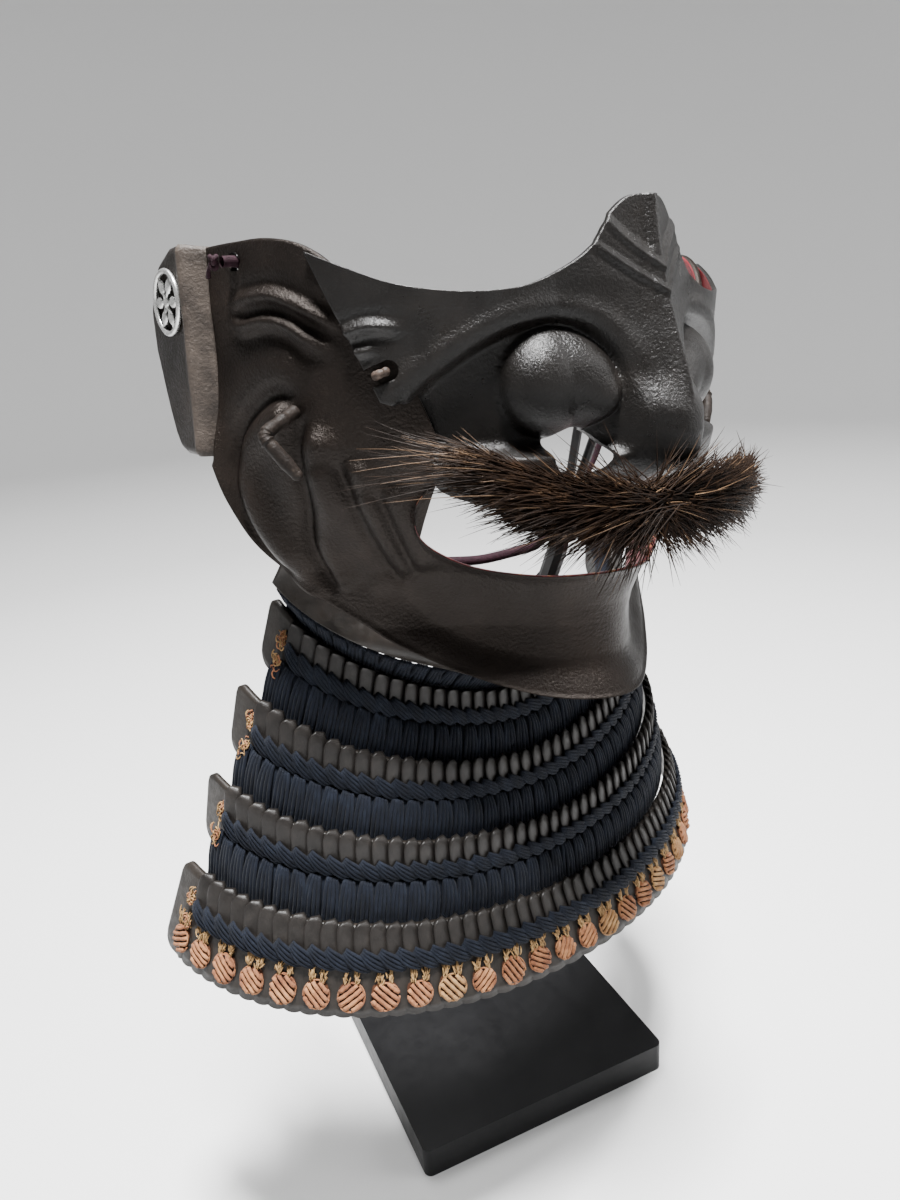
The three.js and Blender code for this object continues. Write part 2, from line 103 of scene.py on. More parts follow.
RINGS = np.array([
    [69, -50, -12, -83, -46],
    [66, -44, -9, -92, -53.5],
    [77.5, -52, -4, -112, -79.5],
    [88.5, -60.6, -0.5, -132, -107.3],
    [98, -69.1, 3.4, -152, -136.8],
    [107, -78.5, 7.4, -174, -166],
], dtype=float)
RING_POWER = 2.2
RING_RISE = 0.73
LAME_THICK = 2.0
LAME_TILT = 6.25
LAMES = 4

# -------- arithmetic on arrays of points
def chart(points, x):
    """The height at x of the broken line through the points."""
    points = np.asarray(points, dtype=float)
    return np.interp(x, points[:, 0], points[:, 1])


def smooth(t):
    """A rounded step from 0 to 1."""
    t = np.clip(t, 0, 1)
    return t * t * (3 - 2 * t)


def hump(distance, width):
    """A bump of height 1 that fades with distance."""
    return np.exp(-(distance / width) ** 2)


def spline(points, count):
    """A centripetal Catmull-Rom curve through the points, as count positions spaced by parameter."""
    points = np.asarray(points, dtype=float)
    first = 2 * points[0] - points[1]
    last = 2 * points[-1] - points[-2]
    padded = np.vstack([first, points, last])
    spans = len(points) - 1
    result = []
    for place in np.linspace(0, spans, count):
        span = min(int(place), spans - 1)
        t = place - span
        a, b, c, d = padded[span:span + 4]
        ab, bc, cd = (max(np.linalg.norm(q - p), 1e-6) ** 0.5 for p, q in ((a, b), (b, c), (c, d)))
        leave = ((b - a) / ab - (c - a) / (ab + bc) + (c - b) / bc) * bc
        arrive = ((c - b) / bc - (d - b) / (bc + cd) + (d - c) / cd) * bc
        result.append(
            b + leave * t
            + (-3 * b + 3 * c - 2 * leave - arrive) * t ** 2
            + (2 * b - 2 * c + leave + arrive) * t ** 3
        )
    return np.array(result)


def unit(vectors):
    length = np.linalg.norm(vectors, axis=-1, keepdims=True)
    return vectors / np.maximum(length, 1e-9)


# -------- meshes
def new_mesh(name, points, faces):
    mesh = bpy.data.meshes.new(name)
    mesh.from_pydata(np.asarray(points, dtype=float).tolist(), [], np.asarray(faces).tolist())
    return mesh


def new_object(name, data):
    """An object of the scene that shows the data."""
    thing = bpy.data.objects.new(name, data)
    bpy.context.scene.collection.objects.link(thing)
    return thing


def add_piece(name, points, faces, materials, slot, nodes=(), face_looks=None):
    """A mesh in the mask's mm that rides on the part's body and stands for the CAD nodes given."""
    mesh = new_mesh(name, points, faces)
    mesh.transform(MASK_TO_ROW)
    for material in materials:
        mesh.materials.append(material)
    mesh.polygons.foreach_set("use_smooth", np.ones(len(mesh.polygons), dtype=bool))
    if face_looks is not None:
        mesh.polygons.foreach_set("material_index", np.asarray(face_looks, dtype=np.int32))
    mesh.update()
    piece = new_object(name, mesh)
    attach(piece, "root")
    if nodes:
        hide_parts(*nodes)
    return piece


def grid_quads(columns, rows, start=0, flip=False):
    """Quads of a grid of points stored column by column."""
    i, j = np.meshgrid(np.arange(columns - 1), np.arange(rows - 1), indexing="ij")
    a = (start + i * rows + j).ravel()
    quads = np.stack([a, a + rows, a + rows + 1, a + 1], axis=1)
    return quads[:, ::-1] if flip else quads


def wall_mesh(front, back):
    """Points, quads and a part number per quad (0 outer, 1 inner, 2 rim) of a wall between two grids."""
    columns, rows = front.shape[:2]
    points = np.vstack([front.reshape(-1, 3), back.reshape(-1, 3)])
    half = columns * rows
    outer = grid_quads(columns, rows)
    inner = grid_quads(columns, rows, half, flip=True)
    loop = np.concatenate([
        np.arange(columns) * rows,
        (columns - 1) * rows + np.arange(1, rows),
        np.arange(columns - 2, -1, -1) * rows + rows - 1,
        np.arange(rows - 2, 0, -1),
    ])
    after = np.roll(loop, -1)
    rim = np.stack([after, loop, loop + half, after + half], axis=1)
    parts = np.repeat([0, 1, 2], [len(outer), len(inner), len(rim)])
    return points, np.vstack([outer, inner, rim]), parts


def joined(meshes):
    """One mesh of points and quads from several."""
    points, quads, count = [], [], 0
    for some_points, some_quads in meshes:
        points.append(np.reshape(some_points, (-1, 3)))
        quads.append(np.asarray(some_quads) + count)
        count += len(points[-1])
    return np.vstack(points), np.vstack(quads)


def on_side(meshes, side):
    """The meshes of the wearer's left as one, mirrored to the right where side is -1."""
    points, quads = joined(meshes)
    points[:, 0] *= side
    return points, quads if side > 0 else quads[:, ::-1]


def tubes(paths, radii, sides=6):
    """Round tubes along paths, an array of [tube, step, xyz]; only six-sided ones have closed ends."""
    paths = np.asarray(paths, dtype=float)
    count, steps = paths.shape[:2]
    radii = np.broadcast_to(radii, (count, steps))
    along = unit(np.gradient(paths, axis=1))
    guide = np.where(np.abs(along[:, :1, 2:]) > 0.8, [1.0, 0.0, 0.0], [0.0, 0.0, 1.0])
    side = unit(np.cross(along, guide))
    other = np.cross(side, along)
    angles = 2 * math.pi * np.arange(sides) / sides
    ring = np.cos(angles)[:, None] * side[:, :, None] + np.sin(angles)[:, None] * other[:, :, None]
    points = paths[:, :, None] + ring * radii[:, :, None, None]
    tube, step, k = np.meshgrid(np.arange(count), np.arange(steps - 1), np.arange(sides), indexing="ij")
    start = (tube * steps + step) * sides
    after = (k + 1) % sides
    quads = np.stack([start + k, start + after, start + sides + after, start + sides + k], axis=-1)
    quads = quads.reshape(-1, 4)[:, ::-1]
    if sides == 6:
        first = np.arange(count)[:, None] * steps * sides
        last = first + (steps - 1) * sides
        ends = [first + [0, 1, 2, 3], first + [0, 3, 4, 5], last + [3, 2, 1, 0], last + [5, 4, 3, 0]]
        quads = np.vstack([quads, *ends])
    return points.reshape(-1, 3), quads


def cut(piece, cutter_mesh):
    """Cuts holes of a closed cutter, points and quads in the mask's mm, out of a piece."""
    mesh = new_mesh("cutter", *cutter_mesh)
    mesh.transform(MASK_TO_ROW)
    cutter = new_object("cutter", mesh)
    boolean = piece.modifiers.new("cut", "BOOLEAN")
    boolean.operation = "DIFFERENCE"
    boolean.solver = "EXACT"
    boolean.object = cutter
    bpy.context.view_layer.update()
    evaluated = piece.evaluated_get(bpy.context.evaluated_depsgraph_get())
    carved = bpy.data.meshes.new_from_object(evaluated)
    piece.modifiers.clear()
    piece.data = carved
    bpy.data.objects.remove(cutter)


# -------- materials
def new_material(name):
    """A material, and the nodes, links and shader it is made of."""
    material = bpy.data.materials.new(name)
    material.use_nodes = True
    tree = material.node_tree
    return material, tree.nodes, tree.links, tree.nodes["Principled BSDF"]


def set_inputs(node, values):
    for name, value in values.items():
        node.inputs[name].default_value = value


def ramp(nodes, links, value, stops):
    """The colour that value picks from a ramp of (place, r, g, b) stops."""
    node = nodes.new("ShaderNodeValToRGB")
    elements = node.color_ramp.elements
    while len(elements) < len(stops):
        elements.new(0.5)
    for element, (place, *color) in zip(elements, stops):
        element.position = place
        element.color = (*color, 1)
    links.new(value, node.inputs["Fac"])
    return node.outputs["Color"]


def noise(nodes, links, vector, scale, detail=6.0):
    node = nodes.new("ShaderNodeTexNoise")
    set_inputs(node, {"Scale": scale, "Detail": detail, "Roughness": 0.6})
    links.new(vector, node.inputs["Vector"])
    return node.outputs["Fac"]


def grained_look(name, stops, patches, rough, grain, metallic=0.0, stretch=(1, 1, 1), specular=0.5,
                 coat=0.0, sheen=0.0, tint=(1, 1, 1)):
    """A material whose colour, roughness and fine relief all come from noise at their own scales.

    patches is the scale of the colour, and the roughness changes three times as often. grain is
    the fine relief's scale, its strength and its depth in mm.
    """
    material, nodes, links, shader = new_material(name)
    place = nodes.new("ShaderNodeTexCoord")
    mapping = nodes.new("ShaderNodeMapping")
    set_inputs(mapping, {"Scale": stretch})
    links.new(place.outputs["Object"], mapping.inputs["Vector"])
    vector = mapping.outputs["Vector"]
    color = ramp(nodes, links, noise(nodes, links, vector, patches), stops)
    links.new(color, shader.inputs["Base Color"])
    spread = nodes.new("ShaderNodeMapRange")
    set_inputs(spread, {"From Min": 0.3, "From Max": 0.7, "To Min": rough[0], "To Max": rough[1]})
    links.new(noise(nodes, links, vector, patches * 3), spread.inputs["Value"])
    links.new(spread.outputs["Result"], shader.inputs["Roughness"])
    grain_scale, strength, depth = grain
    bump = nodes.new("ShaderNodeBump")
    set_inputs(bump, {"Strength": strength, "Distance": depth * MM})
    links.new(noise(nodes, links, vector, grain_scale, detail=8.0), bump.inputs["Height"])
    links.new(bump.outputs["Normal"], shader.inputs["Normal"])
    set_inputs(shader, {
        "Metallic": metallic,
        "Specular IOR Level": specular,
        "Specular Tint": (*tint, 1),
        "Coat Weight": coat,
        "Coat Roughness": 0.25,
        "Sheen Weight": sheen,
    })
    return material


IRON_LOOK = grained_look(
    "iron_lacquer",
    [(0.3, 0.0027, 0.002, 0.0017), (0.55, 0.0056, 0.0042, 0.0035), (0.78, 0.0135, 0.0098, 0.0079)],
    patches=38, rough=(0.3, 0.46), grain=(1150, 1.0, 0.4), specular=0.15, tint=(1, 0.87, 0.79))
NOSE_LOOK = grained_look(
    "nose_lacquer",
    [(0.3, 0.0032, 0.0027, 0.0024), (0.55, 0.0058, 0.005, 0.0045), (0.8, 0.0125, 0.0106, 0.0094)],
    patches=45, rough=(0.25, 0.38), grain=(1300, 1.0, 0.26), specular=0.24)
# Lighter than the iron: partly worn lacquer, partly painted light on the ear guard's front step, which faces
# the key.
WORN_AND_LIT_BAND_LOOK = grained_look(
    "worn_edge_and_painted_light_lacquer",
    [(0.3, 0.018, 0.014, 0.0115), (0.7, 0.062, 0.049, 0.04)],
    patches=160, rough=(0.4, 0.65), grain=(1200, 1.0, 0.35), specular=0.22)
RED_LOOK = grained_look(
    "red_lacquer",
    [(0.3, 0.09, 0.008, 0.011), (0.6, 0.17, 0.018, 0.024), (0.85, 0.24, 0.035, 0.036)],
    patches=60, rough=(0.22, 0.4), grain=(900, 0.15, 0.1), specular=0.6, coat=0.3)
GOLD_EDGE_LOOK = grained_look(
    "rubbed_gold_edge",
    [(0.4, 0.05, 0.007, 0.009), (0.55, 0.16, 0.02, 0.022), (0.68, 0.5, 0.3, 0.13)],
    patches=420, rough=(0.25, 0.4), grain=(1200, 0.2, 0.1), metallic=0.3)
SCALE_LOOK = grained_look(
    "scale_lacquer",
    [(0.3, 0.007, 0.006, 0.0054), (0.55, 0.0122, 0.0106, 0.0096), (0.8, 0.021, 0.0181, 0.016)],
    patches=260, rough=(0.36, 0.52), grain=(1700, 0.5, 0.18), specular=0.22)
LEATHER_LOOK = grained_look(
    "lame_plate",
    [(0.3, 0.007, 0.0056, 0.0045), (0.6, 0.014, 0.011, 0.0088), (0.8, 0.025, 0.019, 0.015)],
    patches=160, rough=(0.35, 0.6), grain=(1100, 0.5, 0.2), specular=0.3)
NAVY_LOOK = grained_look(
    "navy_silk",
    [(0.3, 0.0018, 0.0025, 0.0049), (0.55, 0.0035, 0.005, 0.0094), (0.8, 0.0083, 0.0114, 0.0192)],
    patches=330, rough=(0.65, 0.85), grain=(2600, 1.0, 0.3), stretch=(1, 1, 0.45),
    specular=0.12, sheen=0.02)
PURPLE_LOOK = grained_look(
    "purple_cord",
    [(0.3, 0.006, 0.0018, 0.0032), (0.55, 0.0135, 0.004, 0.0072), (0.8, 0.027, 0.0095, 0.0155)],
    patches=900, rough=(0.6, 0.85), grain=(2400, 0.8, 0.25), specular=0.1, sheen=0.02)
BRISTLE_LOOK = grained_look(
    "boar_bristle",
    [(0.3, 0.004, 0.0018, 0.0009), (0.55, 0.0105, 0.005, 0.0023), (0.8, 0.031, 0.0155, 0.0072)],
    patches=190, rough=(0.4, 0.6), grain=(2500, 0.2, 0.08), specular=0.08)
PALE_BRISTLE_LOOK = grained_look(
    "pale_bristle",
    [(0.3, 0.035, 0.02, 0.011), (0.6, 0.078, 0.047, 0.026), (0.8, 0.14, 0.092, 0.054)],
    patches=190, rough=(0.4, 0.6), grain=(2500, 0.2, 0.08), specular=0.1)
ORANGE_LOOK = grained_look(
    "salmon_cord",
    [(0.3, 0.1, 0.034, 0.016), (0.5, 0.2, 0.082, 0.036), (0.72, 0.34, 0.165, 0.075)],
    patches=210, rough=(0.7, 0.9), grain=(2200, 1.0, 0.3), specular=0.2, sheen=0.05)
FADED_LOOK = grained_look(
    "faded_salmon_cord",
    [(0.3, 0.11, 0.05, 0.02), (0.5, 0.22, 0.115, 0.046), (0.72, 0.34, 0.21, 0.095)],
    patches=210, rough=(0.7, 0.9), grain=(2200, 1.0, 0.3), specular=0.2, sheen=0.05)
STRAW_LOOK = grained_look(
    "straw_thread",
    [(0.3, 0.1, 0.055, 0.022), (0.55, 0.24, 0.145, 0.06), (0.8, 0.42, 0.29, 0.14)],
    patches=500, rough=(0.6, 0.85), grain=(2600, 0.7, 0.2), specular=0.25)
SILVER_LOOK = grained_look(
    "bright_silver",
    [(0.3, 0.35, 0.35, 0.34), (0.6, 0.6, 0.6, 0.59), (0.85, 0.75, 0.75, 0.75)],
    patches=420, rough=(0.18, 0.34), grain=(1900, 0.2, 0.08), metallic=0.85)
# Painted shade: a dark brown for the roundel's disc under its ribs, so the grooves between the ribs read
# shaded.
GROOVE_SHADE_LOOK = grained_look(
    "painted_groove_shade",
    [(0.3, 0.025, 0.01, 0.006), (0.7, 0.06, 0.024, 0.012)],
    patches=300, rough=(0.8, 0.95), grain=(2200, 0.8, 0.25), specular=0.1)
HOOK_LOOK = grained_look(
    "forged_hook_iron",
    [(0.3, 0.006, 0.0045, 0.0038), (0.6, 0.013, 0.0098, 0.008), (0.82, 0.05, 0.037, 0.03)],
    patches=420, rough=(0.42, 0.62), grain=(1300, 0.9, 0.3), specular=0.1)
WORN_METAL_LOOK = grained_look(
    "worn_metal",
    [(0.3, 0.018, 0.012, 0.009), (0.55, 0.05, 0.036, 0.029), (0.8, 0.13, 0.095, 0.078)],
    patches=700, rough=(0.42, 0.62), grain=(1500, 0.7, 0.25), specular=0.14)
STAND_LOOK = grained_look(
    "satin_black",
    [(0.3, 0.0022, 0.0022, 0.0026), (0.7, 0.0042, 0.0042, 0.0047)],
    patches=60, rough=(0.4, 0.52), grain=(2200, 0.2, 0.06), specular=0.2)

# -------- camera, floor and light
CAMERA_PLACE = (-0.1313, -0.2939, 0.3214)
CAMERA_TURN = math.radians(-23.258)
CAMERA_PITCH = math.radians(19.28)
CAMERA_ROLL = math.radians(-4.014)
CAMERA_LENS = 26.72  # mm, on a sensor 36 mm wide
FLOOR_REACH, FLOOR_BEND, WALL_TOP = 1.8, 0.9, 4.0


def make_camera():
    turn, pitch, roll = CAMERA_TURN, CAMERA_PITCH, CAMERA_ROLL
    back = Vector((math.sin(turn) * math.cos(pitch), -math.cos(turn) * math.cos(pitch), math.sin(pitch)))
    level = Vector((math.cos(turn), math.sin(turn), 0))
    upright = back.cross(level)
    right = math.cos(roll) * level + math.sin(roll) * upright
    up = math.cos(roll) * upright - math.sin(roll) * level
    data = bpy.data.cameras.new("camera")
    data.lens = CAMERA_LENS
    data.sensor_width = 36
    data.clip_start = 0.01
    data.clip_end = 20
    camera = new_object("camera", data)
    camera.matrix_world = Matrix.Translation(CAMERA_PLACE) @ Matrix((right, up, back)).transposed().to_4x4()
    bpy.context.scene.camera = camera


def make_floor():
    """A pale round floor whose edge sweeps up into a wall, the backdrop of every view; its colour is painted
    lighter near the stand and darker far off, a painted pool of light.
    """
    rise = [(reach, 0.0) for reach in (0.001, 0.4, 1.0, FLOOR_REACH)]
    for a in np.linspace(0.1, math.pi / 2, 14):
        rise.append((FLOOR_REACH + FLOOR_BEND * math.sin(a), FLOOR_BEND * (1 - math.cos(a))))
    rise.append((FLOOR_REACH + FLOOR_BEND, WALL_TOP))
    around = 96
    angles = np.arange(around) * 2 * math.pi / around
    points = [(reach * math.cos(a), reach * math.sin(a), z) for reach, z in rise for a in angles]
    quads = []
    for i in range(len(rise) - 1):
        for k in range(around):
            here = i * around + k
            after = i * around + (k + 1) % around
            quads.append([here, after, after + around, here + around])
    mesh = new_mesh("floor", points, quads)
    mesh.polygons.foreach_set("use_smooth", np.ones(len(quads), dtype=bool))
    material, nodes, links, shader = new_material("floor_painted_light_pool")
    place = nodes.new("ShaderNodeTexCoord")
    distance = nodes.new("ShaderNodeVectorMath")
    distance.operation = "LENGTH"
    links.new(place.outputs["Object"], distance.inputs[0])
    # Painted light: the floor is lighter near the stand and darker far off and up the wall, a painted pool
    # of light round the stand.
    stops = [(0.15, 0.66, 0.66, 0.66), (0.9, 0.44, 0.44, 0.44)]
    links.new(ramp(nodes, links, distance.outputs["Value"], stops), shader.inputs["Base Color"])
    set_inputs(shader, {"Roughness": 0.9})
    mesh.materials.append(material)
    new_object("floor", mesh)


def add_area_light(name, place, aim, size, power):
    data = bpy.data.lights.new(name, "AREA")
    data.shape = "DISK"
    data.size = size
    data.energy = power
    light = new_object(name, data)
    light.location = place
    light.rotation_euler = (Vector(aim) - Vector(place)).to_track_quat("-Z", "Y").to_euler()


def make_light():
    """A strong key nearly overhead, two weak lights beside and behind it, and a grey sky."""
    middle = (0, -0.05, 0.2)
    add_area_light("key", (-0.08, -0.33, 1.62), middle, 0.3, 150)
    add_area_light("side", (1.1, -0.5, 0.9), middle, 0.9, 12)
    add_area_light("top", (-0.1, 0.4, 1.5), middle, 0.7, 14)
    world = bpy.data.worlds.new("studio")
    world.use_nodes = True
    set_inputs(world.node_tree.nodes["Background"], {"Color": (1, 1, 1, 1), "Strength": 0.2})
    bpy.context.scene.world = world


make_camera()
make_floor()
make_light()

# -------- the tie cord
EAR_HOLE = (78, -28.5, 36.5)
EAR_HOLE_RADIUS = 2.4
TIE_CORD = 2.8
TIE_STEPS = 181
TIE_ROUTE = [
    [-82, -28.5, 36.5], [-78, -28.5, 36.5], [-73.5, -27.5, 34], [-70.5, -25, 22], [-67.5, -21, -5],
    [-58, -26, -30], [-44, -38, -42], [-24, -50, -45], [-12, -53, -44.5], [0, -54, -43],
    [6, -54, -39.5], [12, -54, -33], [24, -53, -20], [29, -53, -10], [48, -45, 8], [66, -32, 26],
    [73.5, -27.5, 34], [78, -28.5, 36.5], [82, -28.5, 36.5],
]


def make_knot(name, side):
    """A small overhand knot close to the ear hole, with two cut tails."""
    turn = np.linspace(0, 2 * math.pi, 49)
    loop = np.stack([
        -0.5 * np.sin(3 * turn),
        0.54 * (np.sin(turn) + 2 * np.sin(2 * turn)),
        0.54 * (np.cos(turn) - 2 * np.cos(2 * turn)),
    ], axis=1)
    centre = np.array([MASK_HALF_WIDTH + GAP + 1.7, EAR_HOLE[1], EAR_HOLE[2]])
    tails = [spline([[0.4, 0.6, -0.5], [0.7, 1.8, -2], [0.5, 2.2 + lean, -3.6]], 12) for lean in (0, 0.9)]
    meshes = [tubes([loop + centre], 0.62, 8), tubes(np.array(tails) + centre, 0.5, 8)]
    return add_piece(f"knot_{name}", *on_side(meshes, side), [PURPLE_LOOK],
                     nodes=[f"cord_knot_{name}"], slot="purple_cord")


def make_tie_cord():
    path = spline(TIE_ROUTE, TIE_STEPS)
    piece = add_piece("braided_tie_cord", *tubes([path], TIE_CORD / 2, 10), [PURPLE_LOOK],
                      nodes=["tie_cord"], slot="purple_cord")
    knots = [make_knot("right", -1), make_knot("left", 1)]


make_tie_cord()

# -------- the face
CHEEK_MM = 80  # radius on which the face is unrolled, to measure along it

# Smile folds of the cheek: the line as [turn, z], groove depth, crest height, groove width.
CHEEK_FOLDS = [
    ([[-57.5, 3.5], [-62, 5], [-67, 2], [-72.5, -5], [-75, -16], [-73.5, -30], [-69.5, -41], [-64, -48.5]],
     2.5, 2.4, 2.2),
    ([[-56.5, 1], [-59, -8], [-59.2, -22], [-60.6, -34], [-59.5, -43], [-57, -50.5]], 2.3, 2.7, 2.0),
    ([[-51.8, -11], [-51, -17], [-49.3, -26], [-46.8, -37], [-42.5, -48.5]], 1.9, 2.2, 1.8),
    ([[-45.5, -18], [-44.4, -24], [-42.3, -34], [-39.5, -44.5]], 1.5, 1.8, 1.5),
]
# Wrinkles: raised lines as [turn, z], height, width.
CHEEK_WRINKLES = [
    ([[-74.6, 25.8], [-68.5, 27.4], [-62, 28.1], [-57, 25.6], [-52, 22.3], [-49, 20.5]], 1.9, 1.6),
    ([[-74.6, 25.2], [-70, 21.6], [-64, 22.6], [-59.3, 21.6], [-54.8, 17.6], [-49, 13.5]], 2.0, 1.7),
]
NOSE_WRINKLES = [
    ([[-53, 17.8], [-49, 19], [-45, 20.6], [-38, 19.6]], 1.1, 1.3),
    ([[-52, 13.6], [-48, 14.6], [-43, 15.8]], 0.7, 1.1),
]
ARCH = [
    [58, 4.5], [54.7, 8.5], [50, 12.5], [44, 16.8], [35.1, 20.8], [25, 22.3], [16, 20], [11, 13.5], [9.6, 4],
    [11.5, -26],
]
BRIDGE_RIDGES = [
    ([[17.5, 39.6], [10, 34], [0, 27.2]], 0.75, 0.8),
    ([[13.5, 44.4], [8, 39], [0, 32.6]], 0.65, 0.7),
]
BROW_PANEL = [[0, 34.8], [8, 41], [13.5, 46.4], [20, 52]]
NOSTRIL_WING = {"x": 25, "z": 6.5, "radius": 13.5, "out": 10}
NOSTRIL = {"x": 20.5, "z": -10.5, "width": 13, "height": 13}
SLOT = {"turn": 43.4, "z": 10, "length": 9.4, "width": 4.8, "tilt": 0.35}
MOUTH = {"x": 56, "low": -46, "high": -20}  # the box that holds the mouth's rim


def line_distance(x, z, line):
    """Signed distance from a smooth line, and how far along it the nearest point lies, from 0 to 1."""
    curve = spline(line, 48)
    near = np.full(x.shape, 1e9)
    signed = np.zeros(x.shape)
    share = np.zeros(x.shape)
    last = len(curve) - 1
    for i, (a, b) in enumerate(zip(curve, curve[1:])):
        step = b - a
        along = np.clip(((x - a[0]) * step[0] + (z - a[1]) * step[1]) / (step @ step), 0, 1)
        gap_x = x - a[0] - along * step[0]
        gap_z = z - a[1] - along * step[1]
        gap = np.hypot(gap_x, gap_z)
        closer = gap < near
        sign = np.sign(step[0] * (z - a[1]) - step[1] * (x - a[0]))
        near = np.where(closer, gap, near)
        signed = np.where(closer, gap * sign, signed)
        share = np.where(closer, (i + along) / last, share)
    return signed, share


def on_cheek(line):
    """A line of [turn in degrees, z] on the unrolled right cheek, in mm."""
    return [[abs(math.radians(turn)) * CHEEK_MM, z] for turn, z in line]


def face_point(turn, z, out=0.0):
    """A point of the plain face, or one that stands out mm in front of it."""
    power = chart(FACE_POWER, z)
    sine = np.abs(np.sin(turn))
    side = np.hypot(sine, CHIN_ROUND) - CHIN_ROUND * (1 - sine)
    front = np.abs(np.cos(turn)) / chart(FACE_DEPTH, z)
    radius = ((side / MASK_HALF_WIDTH) ** power + front ** power) ** (-1 / power) + out
    return np.stack([radius * np.sin(turn), -radius * np.cos(turn), z + 0 * turn], axis=-1)


def plate_grid(half_rows, steps_per_row, steps_up):
    """Turn in radians, z and share of the way up, for a plate ruled between its two edges."""
    mirrored = [[-a, za, -b, zb] for a, za, b, zb in half_rows[-2::-1]]
    rows = np.array(half_rows + mirrored, dtype=float)
    count = (len(rows) - 1) * steps_per_row + 1
    upper = spline(rows[:, :2], count)
    lower = spline(rows[:, 2:], count)
    part = np.linspace(0, 1, steps_up + 1)[None, :]
    turn = lower[:, :1] + (upper[:, :1] - lower[:, :1]) * part
    z = lower[:, 1:] + (upper[:, 1:] - lower[:, 1:]) * part
    return np.radians(turn), z, part + 0 * z


def crease(x, z, line, depth, crest, width):
    """A groove along a line with a soft crest on its outer side, fading at both ends."""
    signed, share = line_distance(x, z, line)
    fade = smooth(share / 0.14) * smooth((1 - share) / 0.12)
    groove = -depth * hump(signed, width)
    outer = crest * hump(signed + 2.4 * width, 2.2 * width)
    inner = 0.5 * crest * hump(signed - 3 * width, 2.4 * width)
    return fade * (groove + (outer + inner))


def wrinkle(x, z, line, height, width):
    """A narrow raised line between two shallow grooves, fading at both ends."""
    signed, share = line_distance(x, z, line)
    fade = smooth(share / 0.3) * smooth((1 - share) / 0.3)
    ditches = hump(signed - 2.1 * width, width) + hump(signed + 2.1 * width, width)
    return fade * height * (hump(signed, width) - 0.35 * ditches)


def bowl_relief(turn, z, part):
    """How far the bowl's folds, wrinkles and edges stand off the plain face."""
    near_front = smooth(1.6 - np.abs(turn) / 0.5)
    relief = -3 * np.sin(math.pi * part) * near_front + 3.5 * (1 - smooth(part / 0.3))
    x = np.abs(turn) * CHEEK_MM
    for line, depth, crest, width in CHEEK_FOLDS:
        relief = relief + crease(x, z, on_cheek(line), depth, crest, width)
    for line, height, width in CHEEK_WRINKLES:
        relief = relief + wrinkle(x, z, on_cheek(line), height, width)
    rolled_rim = 0.7 * hump(part, 0.018)
    lip = 1.1 * hump(1 - part, 0.05) * (np.abs(turn) < math.radians(40)) * (z < -18)
    return relief + rolled_rim + lip


def make_bowl():
    turn, z, part = plate_grid(BOWL_ROWS, 12, 96)
    relief = bowl_relief(turn, z, part) + hammering(turn * CHEEK_MM, z, 0.12)
    skin = face_point(turn, z, relief)
    points, quads, parts = wall_mesh(skin, face_point(turn, z, relief - BOWL_IRON))
    piece = add_piece("iron_bowl", points, quads, [IRON_LOOK, RED_LOOK, GOLD_EDGE_LOOK], nodes=["mask_bowl"],
                      slot="russet_iron", face_looks=rim_looks(points, quads, parts))
    x, y, height = EAR_HOLE
    drills = []
    for side in (-1, 1):
        path = [[side * (x + reach), y, height] for reach in (-6, 0, 8)]
        drills.append(tubes([path], EAR_HOLE_RADIUS))
    cut(piece, joined(drills))


def rim_looks(points, quads, parts):
    """Lacquer outside, red inside, and rubbed gold on the rim round the mouth."""
    middle = points[quads].mean(axis=1)
    x, z = np.abs(middle[:, 0]), middle[:, 2]
    at_mouth = (x < MOUTH["x"]) & (z < MOUTH["high"]) & (z > MOUTH["low"])
    return np.where(parts == 1, 1, np.where((parts == 2) & at_mouth, 2, 0))


def hammering(x, z, height):
    """Slight unevenness of hand-beaten iron: a few slow waves across the skin."""
    waves = np.sin(x * 0.21 + 1.3 * np.sin(z * 0.13)) + np.sin(z * 0.27 + 0.9 * np.sin(x * 0.17))
    return height * waves


def nose_relief(x, z):
    """How far the nose piece stands off the plain face, for x as a distance from the middle."""
    wing = NOSTRIL_WING
    reach = np.clip(np.hypot(x - wing["x"], z - wing["z"]) / wing["radius"], 0, 1)
    swell = wing["out"] * (1 - reach ** 2) ** 0.62
    below_arch, _ = line_distance(x, z, ARCH)
    socket = -3.6 * smooth(below_arch / 3.2) * smooth((z + 12) / 6)
    brow = 0.8 * hump(below_arch + 2.2, 2.4)
    lip = 3 * smooth((-8 - z) / 3) * smooth((x - 10) / 5)
    return np.maximum(swell, 0) + socket + brow * smooth((z + 4) / 8) + lip


def nose_skin(turn, z, depth):
    """The nose piece's surface, depth mm below its outer skin."""
    flat = face_point(turn, z, GAP + NOSE_IRON)
    x = np.abs(flat[..., 0])
    relief = nose_relief(x, z) + hammering(turn * CHEEK_MM, z, 0.07) - depth
    unrolled = np.abs(turn) * CHEEK_MM
    for line, height, width in NOSE_WRINKLES:
        relief = relief + wrinkle(unrolled, z, on_cheek(line), height, width)
    skin = flat.copy()
    skin[..., 0] += relief * np.sin(turn)
    skin[..., 1] -= relief * np.cos(turn)
    reach = np.clip(x / chart(NOSE_HALF_WIDTH, z), 0, 1)
    bridge = np.zeros(x.shape)
    for line, height, width in BRIDGE_RIDGES:
        at_middle = height * hump(line_distance(x, z, line)[0], width) * (x < 3)
        bridge += wrinkle(x, z, line, height, width) + at_middle
    above_panel = z - chart(BROW_PANEL, x)
    bridge -= 0.8 * smooth(above_panel / 1.2) * smooth((x - 1.2) / 1.5) * smooth((17 - x) / 3)
    rounded = np.maximum(np.cos(math.pi / 2 * reach), 0) ** 1.3
    ridged = (1 - reach) ** 1.25
    skin[..., 1] -= chart(NOSE_OUT, z) * (rounded + (ridged - rounded) * smooth((z + 2) / 12)) + bridge
    return skin


